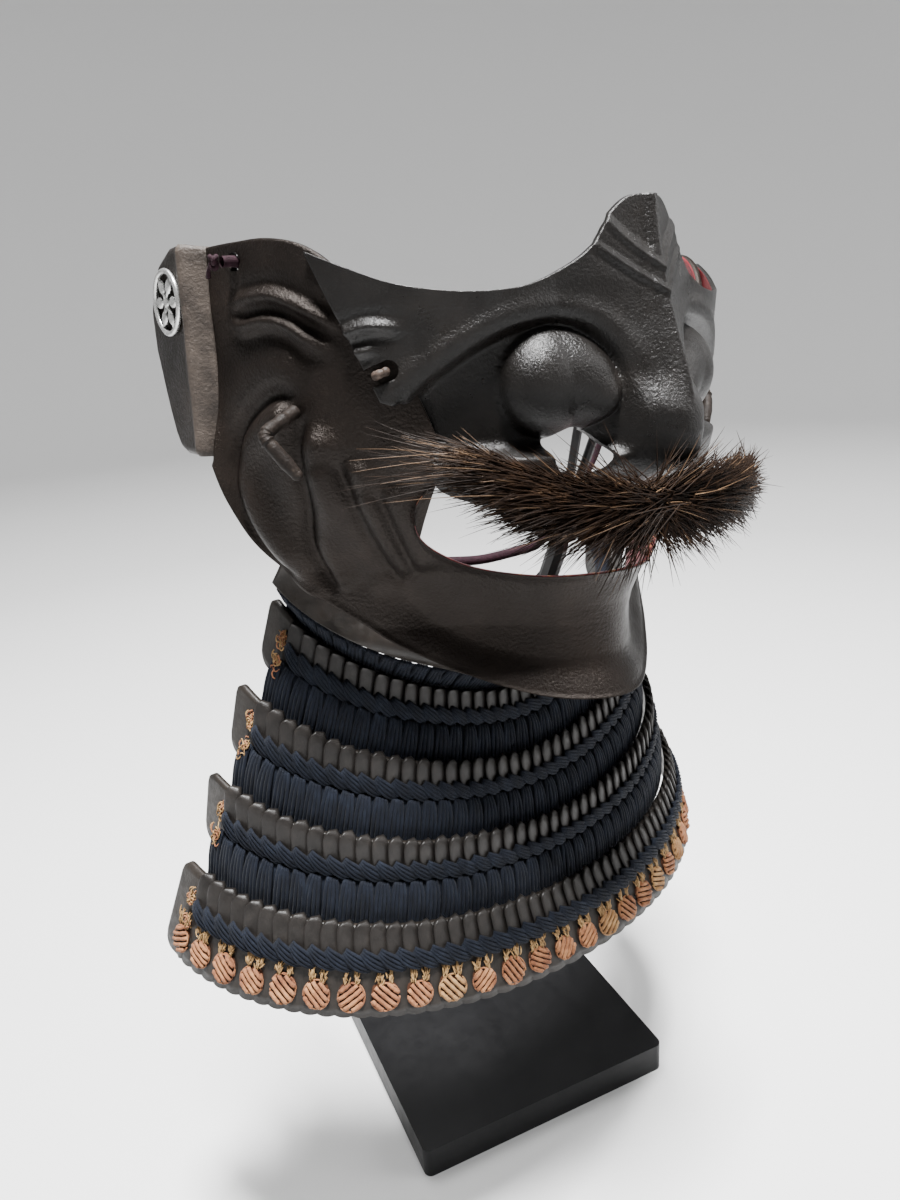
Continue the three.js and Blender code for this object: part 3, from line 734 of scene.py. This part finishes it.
def make_nose_piece():
    turn, z, _ = plate_grid(NOSE_ROWS, 13, 150)
    points, quads, parts = wall_mesh(nose_skin(turn, z, 0), nose_skin(turn, z, NOSE_IRON))
    piece = add_piece("iron_nose_piece", points, quads, [NOSE_LOOK, RED_LOOK], nodes=["nose_piece"],
                      slot="russet_iron", face_looks=(parts == 1).astype(int))
    cut(piece, joined([cutter(side) for cutter in (nostril_cutter, slot_cutter) for side in (-1, 1)]))


def nostril_cutter(side):
    """An oval bar along Y through the nostril."""
    around = 28
    angles = np.arange(around) * 2 * math.pi / around
    x = side * NOSTRIL["x"] + NOSTRIL["width"] / 2 * np.cos(angles)
    z = NOSTRIL["z"] + NOSTRIL["height"] / 2 * np.sin(angles)
    return bar_mesh(np.stack([x, z], axis=1), -125, -55)


def bar_mesh(outline, front, back):
    """A bar along Y of a closed outline of (x, z), as quads fanned from middle points."""
    count = len(outline)
    layers = [np.stack([outline[:, 0], np.full(count, y), outline[:, 1]], axis=1) for y in (front, back)]
    middles = [layer.mean(axis=0, keepdims=True) for layer in layers]
    points = np.vstack(layers + middles)
    k = np.arange(count)
    after = (k + 1) % count
    walls = np.stack([k, k + count, after + count, after], axis=1)
    pairs = k[::2]
    second, third = (pairs + 1) % count, (pairs + 2) % count
    middle = np.full(len(pairs), 2 * count)
    front_fan = np.stack([middle, pairs, second, third], axis=1)
    back_fan = np.stack([middle + 1, third + count, second + count, pairs + count], axis=1)
    return points, np.vstack([walls, front_fan, back_fan])


def slot_frame(side):
    """The slot's middle on the face, and its directions along, outwards and up."""
    turn = side * math.radians(SLOT["turn"])
    place = face_point(turn, SLOT["z"], GAP + NOSE_IRON)
    outwards = np.array([math.sin(turn), -math.cos(turn), 0])
    level = np.array([math.cos(turn), math.sin(turn), 0])
    tilt = -side * SLOT["tilt"]
    along = math.cos(tilt) * level + math.sin(tilt) * np.array([0, 0, 1])
    return place, along, outwards, np.cross(along, -outwards)


def slot_cutter(side):
    """A bar with round ends, square to the face, through the slot."""
    place, along, outwards, up = slot_frame(side)
    angles = np.arange(24) * 2 * math.pi / 24
    half, end = (SLOT["length"] - SLOT["width"]) / 2, SLOT["width"] / 2
    x = np.sign(np.cos(angles)) * half + end * np.cos(angles)
    z = end * np.sin(angles)
    points, quads = bar_mesh(np.stack([x, z], axis=1), -6, 6)
    return place + points[:, :1] * along + points[:, 1:2] * -outwards + points[:, 2:] * up, quads


make_bowl()
make_nose_piece()

# -------- ear guards, crests, hooks, studs
FLANGE = {"front": -16.2, "back": 11.3, "x": 86, "thick": 2.2, "step": 5.0, "band": 4.6}
FLANGE_STEPS = 64
FLANGE_LOW = [[-17, -12], [-3, -12], [0.5, -11], [2.6, -8], [11.3, 17]]
FLANGE_HIGH = [[-17, 40.6], [-12, 41.6], [-4, 41], [3, 38], [8, 32.5], [10.6, 26], [11.3, 18]]


def make_flange(name, side):
    """A flat plate with round corners; its front edge is a worn, rounded step down to the cheek, coloured
    lighter partly as wear and partly as painted light on the slope that faces the key.
    """
    across = np.linspace(0, 1, FLANGE_STEPS)
    y = FLANGE["front"] + (FLANGE["back"] - FLANGE["front"]) * across
    low, high = chart(FLANGE_LOW, y), chart(FLANGE_HIGH, y)
    up = np.linspace(0, 1, FLANGE_STEPS)[None, :]
    z = low[:, None] + (high - low)[:, None] * up
    y = np.repeat(y[:, None], FLANGE_STEPS, axis=1)
    edge = np.minimum(np.minimum(z - low[:, None], high[:, None] - z), (FLANGE["back"] - y) * 1.3)
    rounding = 0.9 * (1 - smooth(edge / 1.3))
    from_front = y - FLANGE["front"]
    step = FLANGE["step"] * (1 - smooth(from_front / 3.6)) ** 1.4
    ridge = 0.8 * hump(from_front - 4.2, 1.5)
    x = FLANGE["x"] - rounding - step + ridge + hammering(y, z, 0.05)
    skin = np.stack([x, y, z], axis=-1)
    back = skin - [FLANGE["thick"], 0, 0]
    points, quads, parts = wall_mesh(skin[::-1], back[::-1])
    points[:, 0] *= side
    middle = points[quads].mean(axis=1)
    # The front band's faces take the lighter look: wear and painted light of the lit step.
    band = (middle[:, 1] < FLANGE["front"] + FLANGE["band"]) & (parts != 1)
    quads = quads[:, ::-1] if side > 0 else quads
    looks = np.where(parts == 1, 1, np.where(band, 2, 0))
    add_piece(f"ear_guard_{name}", points, quads, [IRON_LOOK, RED_LOOK, WORN_AND_LIT_BAND_LOOK],
              nodes=[f"ear_flange_{name}"], slot="russet_iron", face_looks=looks)


def flat_ball(centre, size, turn=0.0, around=16, rows=8):
    """A ball of half sizes (x, y, z) whose y and z axes are turned about x."""
    lat = np.linspace(-math.pi / 2, math.pi / 2, rows + 1)[:, None]
    lon = np.linspace(0, 2 * math.pi, around + 1)[None, :]
    ball = np.stack([np.cos(lat) * np.cos(lon), np.cos(lat) * np.sin(lon), np.sin(lat) + 0 * lon], axis=-1)
    ball = ball * np.asarray(size)
    c, s = math.cos(turn), math.sin(turn)
    ball = ball @ np.array([[1, 0, 0], [0, c, s], [0, -s, c]])
    return (ball + centre).reshape(-1, 3), grid_quads(rows + 1, around + 1)[:, ::-1]


CREST_RADIUS = 7.9


def make_crest(name, side):
    """A generic pierced rosette: a rim, six lobes round a boss, and a spoke to each lobe."""
    centre = np.array([FLANGE["x"] + GAP + 0.4, -2.7, 27.8])
    angles = np.linspace(0, 2 * math.pi, 61)
    rim = [centre + [0, CREST_RADIUS * math.cos(a), CREST_RADIUS * math.sin(a)] for a in angles]
    meshes = [tubes([rim], 0.75, 10), flat_ball(centre, (0.8, 1.5, 1.5))]
    for a in np.arange(6) * math.pi / 3:
        outwards = np.array([0, math.cos(a), math.sin(a)])
        meshes.append(flat_ball(centre + 4.5 * outwards, (0.75, 2.1, 1.5), a))
        meshes.append(tubes([[centre + reach * outwards for reach in (1, 3, 7.6)]], 0.5))
    add_piece(f"rosette_{name}", *on_side(meshes, side), [SILVER_LOOK], nodes=[f"crest_{name}"],
              slot="silver_crest")


# The hook's path as (turn in degrees, z, mm off the face).
HOOK_PATH = [
    (58.8, 1, 0.6), (59.3, -0.6, 5), (60, -3, 11), (59.9, -4.2, 12.2), (59.2, -5.6, 12.2), (55.9, -13, 11),
]
HOOK_STEPS = 60


def make_hook(name, side):
    """A hammered rod out of the cheek, with a tight elbow and a blunt end."""
    path = spline([face_point(math.radians(turn), z, out) for turn, z, out in HOOK_PATH], HOOK_STEPS)
    share = np.linspace(0, 1, HOOK_STEPS)
    radius = 1.75 + 0.12 * np.sin(share * 37) + 0.09 * np.sin(share * 61 + 1)
    radius[-1] = 1.4
    meshes = [tubes([path], radius, 12), flat_ball(path[-1], (1.5, 1.5, 1.5))]
    add_piece(f"forged_hook_{name}", *on_side(meshes, side), [HOOK_LOOK], nodes=[f"cheek_hook_{name}"],
              slot="russet_iron")


# The pin's path as (mm along the slot, mm outwards).
STUD_PATH = [(-1.2, -2.2), (-1.1, 0.1), (-0.4, 0.8), (1.6, 0.5)]
STUD_STEPS = 20


def make_stud(name, side):
    """The worn pin of the bowl, bent over in the nose piece's slot."""
    place, along, outwards, _ = slot_frame(side)
    path = spline([place + a * along * -side + out * outwards for a, out in STUD_PATH], STUD_STEPS)
    share = np.linspace(0, 1, STUD_STEPS)
    meshes = [tubes([path], 1.05 + 0.12 * np.sin(share * 19), 10), flat_ball(path[-1], (1.1, 1.1, 1.1))]
    add_piece(f"bent_pin_{name}", *joined(meshes), [WORN_METAL_LOOK], nodes=[f"nose_stud_{name}"],
              slot="worn_stud")


for name, side in (("right", -1), ("left", 1)):
    make_flange(name, side)
    make_crest(name, side)
    make_hook(name, side)
    make_stud(name, side)

# -------- moustache
# Sections along it: [x, y, z, half depth, half height].
MOUSTACHE = np.array([
    [-74, -80, -2, 1.5, 1.8],
    [-61, -87, -2.5, 3, 3.5],
    [-51, -96, -9.5, 4, 6.5],
    [-38, -103, -17.5, 4.5, 8.5],
    [-22, -110, -20.5, 4.5, 8],
    [-5, -113, -20.5, 4, 9],
    [12, -111, -20.5, 4, 9.5],
    [28, -104, -21, 4.5, 9],
    [43, -95, -22, 4.5, 7],
    [55, -89, -23, 2.5, 3.5],
])
PARTING = 0.47  # how far along the moustache its bristles part
BRISTLES = 6400
FORWARD_MOST = -0.1  # no bristle points further to the front than this, so the tuft keeps its depth
STATIONS = 240
HAIR_SIDES = 3


def make_moustache():
    """Stiff bristles that point away from the parting and fan out to every side."""
    table = spline(MOUSTACHE, STATIONS)
    stations = np.arange(STATIONS)
    last = STATIONS - 1
    leftwards = RNG.random(BRISTLES) < 0.5
    reach = np.where(leftwards, 0.78 * PARTING, 0.86 * (1 - PARTING))
    away = np.where(leftwards, -1, 1)
    root = RNG.random(BRISTLES) ** 1.2 * 0.8
    at = np.clip((PARTING + away * root * reach) * last + RNG.normal(0, 5, BRISTLES), 0, last)
    ahead = np.clip(at + 12 * away, 0, last)
    *here, depth, height = [np.interp(at, stations, column) for column in table.T]
    beyond = [np.interp(ahead, stations, column) for column in table.T[:3]]
    place = np.stack(here, axis=1)
    along = unit(np.stack(beyond, axis=1) - place)
    along[:, 2] *= np.where(leftwards, 0.35, 1)
    angle = RNG.random(BRISTLES) * 2 * math.pi
    spread = np.sqrt(RNG.random(BRISTLES))
    deep, high = spread * np.cos(angle), spread * np.sin(angle)
    narrow = np.where(leftwards, 1 - 0.8 * root, 0.9)
    place[:, 1] += 0.8 * depth * deep
    place[:, 2] += 0.62 * height * high - np.where(leftwards, 3.5 * root, 2 * root)
    combed = smooth((root + 0.04) / 0.3)
    upwards = (0.5 * high + 0.17 * RNG.normal(0, 1, BRISTLES)) * narrow - 0.06 - 0.14 * (1 - combed)
    forwards = 0.25 * deep - 0.1 * RNG.normal(0, 1, BRISTLES) - 0.1 * (1 - combed)
    sideways = along * (0.5 + 0.5 * combed)[:, None]
    aim = unit(sideways + np.stack([0.22 * RNG.normal(0, 1, BRISTLES), forwards, upwards], axis=1))
    aim[:, 1] = np.maximum(aim[:, 1], FORWARD_MOST)
    aim = unit(aim)
    length = (7.5 + 8.5 * RNG.random(BRISTLES)) * (1.15 - 0.5 * root)
    stray = RNG.random(BRISTLES) < 0.02
    length[stray] *= 1.5
    at_tip = leftwards & (root > 0.68)
    length[at_tip] *= 0.8 + 1.9 * RNG.random(at_tip.sum()) ** 4
    t = np.linspace(0, 1, 5)[None, :, None]
    bend = RNG.normal(0, 0.06, (BRISTLES, 1, 3)) * [1, 0.4, 1] - [0, 0, 0.04]
    paths = place[:, None] + length[:, None, None] * (aim[:, None] * t + bend * t ** 2)
    thick = np.where(stray | at_tip, 0.13, 0.18)[:, None]
    points, quads = tubes(paths, thick * np.array([1, 1, 0.85, 0.6, 0.15]), HAIR_SIDES)
    pale = (RNG.random(BRISTLES) < 0.05) | (at_tip & (RNG.random(BRISTLES) < 0.16))
    looks = np.repeat(pale.astype(int), len(quads) // BRISTLES)
    add_piece("boar_bristles", points, quads, [BRISTLE_LOOK, PALE_BRISTLE_LOOK], nodes=["moustache"],
              slot="bristle", face_looks=looks)


make_moustache()

# -------- throat guard
def ring_point(level, turn, out=0.0):
    """A point of the guard: level counts the rings down, turn runs from -90 to 90 degrees in radians."""
    level, turn, out = np.broadcast_arrays(np.asarray(level, dtype=float), turn, out)
    at = np.clip(np.floor(level).astype(int), 0, len(RINGS) - 2)
    ring = RINGS[at] + (RINGS[at + 1] - RINGS[at]) * (level - at)[..., None]
    sine, cosine = np.sin(turn), np.maximum(np.cos(turn), 1e-4)
    power = 2 / RING_POWER
    x = ring[..., 0] * np.sign(sine) * np.abs(sine) ** power
    back = 1 - cosine ** power
    y = ring[..., 1] + (ring[..., 2] - ring[..., 1]) * back
    z = ring[..., 3] + (ring[..., 4] - ring[..., 3]) * back ** RING_RISE
    slope_x = ring[..., 0] * power * np.maximum(np.abs(sine), 1e-3) ** (power - 1) * cosine
    slope_y = (ring[..., 2] - ring[..., 1]) * power * cosine ** (power - 1) * sine
    length = np.hypot(slope_x, slope_y)
    return np.stack([x + out * slope_y / length, y - out * slope_x / length, z], axis=-1)


def even_turns(level, count, margin, out=0.0):
    """Turns that space count places evenly along a ring, starting margin mm from its ends."""
    turn = np.radians(np.linspace(-88, 88, 1500))
    line = ring_point(level, turn, out)
    along = np.concatenate([[0], np.cumsum(np.linalg.norm(np.diff(line, axis=0), axis=1))])
    places = np.linspace(margin, along[-1] - margin, count)
    return np.interp(places, along, turn), along[-1]


def lame_slope(number):
    """How far a lame lies inside the rings' surface per level, and how far down it reaches."""
    return (0.0, 1.0) if number == LAMES else (LAME_TILT, 0.8)


def lame_out(number, down):
    slope, _ = lame_slope(number)
    return LAME_THICK - slope * down


def ring_drop(number):
    """How far the front of a ring lies above the front of the next, in mm."""
    return abs(RINGS[number + 1][3] - RINGS[number][3])


def turn_per_mm(level, turn):
    """The turn in radians that moves a point of the guard a millimetre sideways."""
    return 0.01 / np.linalg.norm(ring_point(level, turn + 0.01) - ring_point(level, turn))


PLATE_STEPS, PLATE_ROWS = 440, 12
RIB_PITCH = 5.5


def make_plate(number):
    """A lame's bare plate, with round ends, a rib for each scale and a scalloped foot."""
    slope, foot = lame_slope(number)
    turn = np.radians(np.linspace(-88, 88, PLATE_STEPS))[:, None]
    length = even_turns(number + foot, 2, 0)[1]
    share = turn / np.radians(176) + 0.5
    from_end = np.minimum(share, 1 - share) * length
    corner = 3.2 * (1 - np.sqrt(np.clip(1 - (1 - np.clip(from_end / 5, 0, 1)) ** 2, 0, 1)))
    high = corner / ring_drop(number)
    low = foot - high
    wave = np.abs(np.sin(math.pi * from_end / RIB_PITCH))
    scallop = 0.02 * wave * (from_end > 9)
    down = high + (low + scallop * 0.7 - 0.014 - high) * np.linspace(0, 1, PLATE_ROWS)[None, :]
    rib = 0.35 * wave ** 0.6 * smooth((from_end - 8) / 2) * (down > 0.4)
    out = LAME_THICK - slope * down + rib - 0.35
    skins = [ring_point(number + down, turn, out - depth)[:, ::-1] for depth in (0, 1.5)]
    points, quads, _ = wall_mesh(*skins)
    add_piece(f"scale_plate_{number}", points, quads, [LEATHER_LOOK], nodes=[f"throat_lame_{number}"],
              slot="scale_lacquer")


HEAD_PITCH = 4.5


def make_heads(number):
    """The lacquered heads of the scales, each leaning on its neighbour, along the lame's top."""
    _, length = even_turns(number, 2, 0)
    count = round((length - 27) / HEAD_PITCH)
    turns, _ = even_turns(number, count, 13.5)
    drop = ring_drop(number)
    across = np.linspace(-1, 1, 9)[:, None]
    up = np.linspace(0, 1, 11)[None, :]
    half = 2.55 * np.minimum(1, np.sqrt(np.maximum(1 - (np.maximum(up - 0.7, 0) / 0.33) ** 2, 0.02)))
    meshes = []
    for turn in turns:
        size = 1 + 0.025 * RNG.normal()
        lean = 0.35 + 0.12 * RNG.normal()
        per_mm = turn_per_mm(number, turn)
        sideways = across * half - lean * (up - 0.5) * 2
        down = (7.6 - 8.9 * size * up) / drop
        bulge = 0.5 * np.sqrt(1 - 0.96 * across ** 2) * np.sqrt(np.clip((1.02 - up) / 0.3, 0, 1))
        out = LAME_THICK - lame_slope(number)[0] * np.maximum(down, 0) + 0.5 + bulge - 0.75 * across
        skins = [ring_point(number + down, turn + sideways * per_mm, out - depth) for depth in (0, 1.3)]
        meshes.append(wall_mesh(*skins)[:2])
    add_piece(f"scale_heads_{number}", *joined(meshes), [SCALE_LOOK], slot="scale_lacquer")


LEAF_PITCH = 4.9


def make_braid(number):
    """A flat braid: a row of slanted, overlapping leaves, each of four cords side by side."""
    middle = 0.345 if number == LAMES else 0.375
    _, length = even_turns(number + middle, 2, 0)
    count = round((length - 32) / LEAF_PITCH)
    turns, _ = even_turns(number + middle, count, 16)
    drop = ring_drop(number)
    t = np.linspace(-1, 1, 9)
    paths = []
    for turn in turns:
        per_mm = turn_per_mm(number, turn)
        wobble = RNG.normal(0, 0.2, 2)
        for strand in range(4):
            offset = (strand - 1.5) * 1.0 * (1 - 0.55 * t ** 2)
            along = t * 3.7 + offset * 0.55 + wobble[0]
            fall = t * 2.25 - offset * 0.8 + 0.4 * wobble[1]
            down = middle + fall / drop
            out = lame_out(number, down) + 0.3 + 1.9 * np.sqrt(1 - 0.92 * t ** 2)
            out = out - 0.6 * t - 0.15 * abs(strand - 1.5)
            paths.append(ring_point(number + down, turn + along * per_mm, out))
    add_piece(f"braided_cord_{number}", *tubes(paths, 0.56), [NAVY_LOOK], nodes=[f"braid_{number}"],
              slot="navy_lacing")


GROUP_PITCH = 5.1
GROUP_CORDS = 4


def make_lacing(number):
    """Cords hanging side by side in groups, from the lame's middle to behind the next one's top, with a navy
    sheet just behind them that stands in for the shade in the gaps.
    """
    if number == 0:
        levels, outs, margin = [0.1, 0.45, 0.8, 1.02, 1.12], [1.1, 0.1, -1.0, -1.9, -2.1], 5
    else:
        levels, outs, margin = [0.5, 0.6, 0.8, 0.98, 1.1], [0.2, 0.6, -0.2, -1.5, -2.1], 9
    _, length = even_turns(number + 0.8, 2, 0)
    groups = round((length - 2 * margin) / GROUP_PITCH)
    turns, _ = even_turns(number + 0.8, groups, margin + 2)
    steps = np.linspace(0, 1, 10)
    level = np.interp(steps, np.linspace(0, 1, 5), levels)
    out = np.interp(steps, np.linspace(0, 1, 5), outs)
    paths = []
    for turn in turns:
        per_mm = turn_per_mm(number + 0.8, turn)
        sway = RNG.normal(0, 0.3)
        for strand in range(GROUP_CORDS):
            place = strand - (GROUP_CORDS - 1) / 2
            width = 0.85 + 0.42 * smooth(steps * 2)
            along = place * width + sway * np.sin(math.pi * steps) + RNG.normal(0, 0.1) * steps
            bow = 0.35 * math.cos(place * 0.7) + RNG.normal(0, 0.12)
            bowed = out + bow * np.sin(math.pi * steps)
            paths.append(ring_point(number + level, turn + along * per_mm, bowed))
    # A navy sheet close behind the cords, painted shade: it fills the gaps between the cord groups and
    # between the lames, where there is only shade.
    across = np.linspace(turns[0], turns[-1], 240)[:, None]
    upwards = number + level[None, ::-1]
    gap_shade_backing = [ring_point(upwards, across, out[::-1] - depth) for depth in (0.5, 0.9)]
    meshes = [tubes(paths, 0.68), wall_mesh(*gap_shade_backing)[:2]]
    add_piece(f"hanging_cords_{number}", *joined(meshes), [NAVY_LOOK], nodes=[f"lacing_{number}"],
              slot="navy_lacing")


DISC_PITCH = 9.4
HEM_LEVEL = 4.75


def make_hem():
    """Roundels of ribbed salmon cord along the hem, each hung from two frayed straw threads; the disc under
    the ribs is painted dark as the shade in their grooves.
    """
    level = HEM_LEVEL
    per_level = 1 / ring_drop(LAMES)
    _, length = even_turns(level, 2, 0)
    count = round((length - 19) / DISC_PITCH)
    turns, _ = even_turns(level, count, 9.5, LAME_THICK)
    radial = np.linspace(0, 1, 7)[None, :]
    around = np.linspace(0, 2 * math.pi, 29)[:, None]
    t = np.linspace(-1, 1, 9)
    discs, looks, threads = [], [], []
    for turn in turns:
        per_mm = turn_per_mm(level, turn)
        radius = 4.0 * (1 + 0.05 * RNG.normal())
        squash = 0.88 + 0.05 * RNG.normal()
        slant = math.radians(40 + 12 * RNG.normal()) * RNG.choice([-1, 1], p=[0.35, 0.65])
        faded = int(RNG.random() < 0.3)
        square = 1 - 0.07 * np.cos(4 * around)
        sideways = radius * square * radial * np.cos(around)
        fall = radius * square * squash * radial * np.sin(around)
        out = LAME_THICK + 0.8 * (1 - radial ** 5) - 0.2
        disc = ring_point(level + fall * per_level, turn + sideways * per_mm, out)
        meshes = [(disc.reshape(-1, 3), grid_quads(29, 7))]
        for rib in np.arange(-2, 3):
            offset = rib * radius * 0.39
            chord = math.sqrt(max((radius * 0.96) ** 2 - (abs(offset) + 0.3) ** 2, 0.4)) * t
            along = chord * math.cos(slant) - offset * math.sin(slant)
            fall = squash * (chord * math.sin(slant) + offset * math.cos(slant))
            out = LAME_THICK + 0.72 + 0.42 * (1 - t ** 6)
            path = ring_point(level + fall * per_level, turn + along * per_mm, out)
            meshes.append(tubes([path], 0.62 + 0.07 * np.sin(t * 17 + rib)))
        for _ in range(10):
            arc = RNG.random() * 2 * math.pi + 0.5 * t
            size = radius * (0.9 + 0.12 * RNG.random())
            fall = squash * size * np.sin(arc)
            out = LAME_THICK + 0.5 + 0.4 * RNG.random()
            path = ring_point(level + fall * per_level, turn + size * np.cos(arc) * per_mm, out)
            meshes.append(tubes([path], 0.24))
        discs += meshes
        # The disc under the ribs takes the dark look, painted shade in the grooves between them.
        looks += [2] * len(meshes[0][1]) + [faded] * sum(len(quads) for _, quads in meshes[1:])
        for side in (-1.7, 1.7):
            for _ in range(16):
                u = np.linspace(0, 1, 5)
                along = side + RNG.normal(0, 0.5) + RNG.normal(0, 0.6) * u
                fall = -2.6 - 2.6 * RNG.random() - (1 + 1.6 * RNG.random()) * u
                out = LAME_THICK + 0.4 + 0.5 * RNG.random() + 0.5 * np.sin(math.pi * u)
                threads.append(ring_point(level + fall * per_level, turn + along * per_mm, out))
    add_piece("hem_roundels", *joined(discs), [ORANGE_LOOK, FADED_LOOK, GROOVE_SHADE_LOOK], slot="navy_lacing",
              face_looks=looks)
    add_piece("hem_straw_threads", *tubes(threads, 0.24, HAIR_SIDES), [STRAW_LOOK], slot="navy_lacing")


def make_end_knots():
    """A frayed knot of straw and orange thread on the bare end plate of each lame."""
    t = np.linspace(0, 1, 6)
    strands = []
    for number in range(1, LAMES + 1):
        for end in (-1, 1):
            turns, _ = even_turns(number + 0.3, 3, 10)
            turn = turns[0] if end < 0 else turns[-1]
            drop = ring_drop(number)
            per_mm = turn_per_mm(number, turn)
            for k in range(70):
                angle = RNG.random() * 2 * math.pi
                size = 0.3 + 0.9 * RNG.random()
                lower = k % 3 == 0
                along = size * np.cos(angle + 2.5 * t) + RNG.normal(0, 0.7)
                fall = size * np.sin(angle + 2.5 * t) + RNG.normal(0, 0.9) + (4.5 if lower else -1)
                out = lame_out(number, 0.3) + 0.3 + 0.8 * RNG.random() + 0.5 * np.sin(math.pi * t)
                strands.append(ring_point(number + 0.3 + fall / drop, turn + along * per_mm, out))
    points, quads = tubes(strands, 0.26, HAIR_SIDES)
    orange = RNG.random(len(strands)) < 0.4
    looks = np.repeat(orange.astype(int), len(quads) // len(strands))
    add_piece("end_thread_knots", points, quads, [STRAW_LOOK, ORANGE_LOOK], slot="navy_lacing",
              face_looks=looks)


def make_strip():
    """The leather band that joins the throat guard to the jaw, seen only under the bowl's edge."""
    turn = np.radians(np.linspace(-84, 84, 240))
    jaw = np.array([[abs(row[2]), row[3]] for row in BOWL_ROWS[::-1]])
    face_turn = turn * 0.85
    height = np.interp(np.abs(np.degrees(face_turn)), jaw[:, 0], jaw[:, 1])
    skins = []
    for inside, drop, foot_out in ((3.2, 1.6, 1.8), (4.8, 2.0, 0.2)):
        top = face_point(face_turn, height - drop, -inside)
        foot = ring_point(0, turn, foot_out)
        share = np.linspace(0, 1, 24)[None, :, None]
        skins.append(foot[:, None] + (top - foot)[:, None] * share)
    points, quads, _ = wall_mesh(*skins)
    add_piece("jaw_band", points, quads, [LEATHER_LOOK], nodes=["throat_strip"], slot="scale_lacquer")


for number in range(1, LAMES + 1):
    make_plate(number)
    make_heads(number)
    make_braid(number)
for number in range(LAMES):
    make_lacing(number)
make_hem()
make_end_knots()
make_strip()


# -------- stand
def finish_stand():
    """Satin black on the CAD's base and post, with a small bevel on the base's edges."""
    for name in ("stand_base", "stand_post"):
        NODES[name].data.materials.clear()
        NODES[name].data.materials.append(STAND_LOOK)
    bevel = NODES["stand_base"].modifiers.new("soft_edges", "BEVEL")
    bevel.width = 0.7 * MM
    bevel.segments = 3
    bevel.limit_method = "ANGLE"


finish_stand()
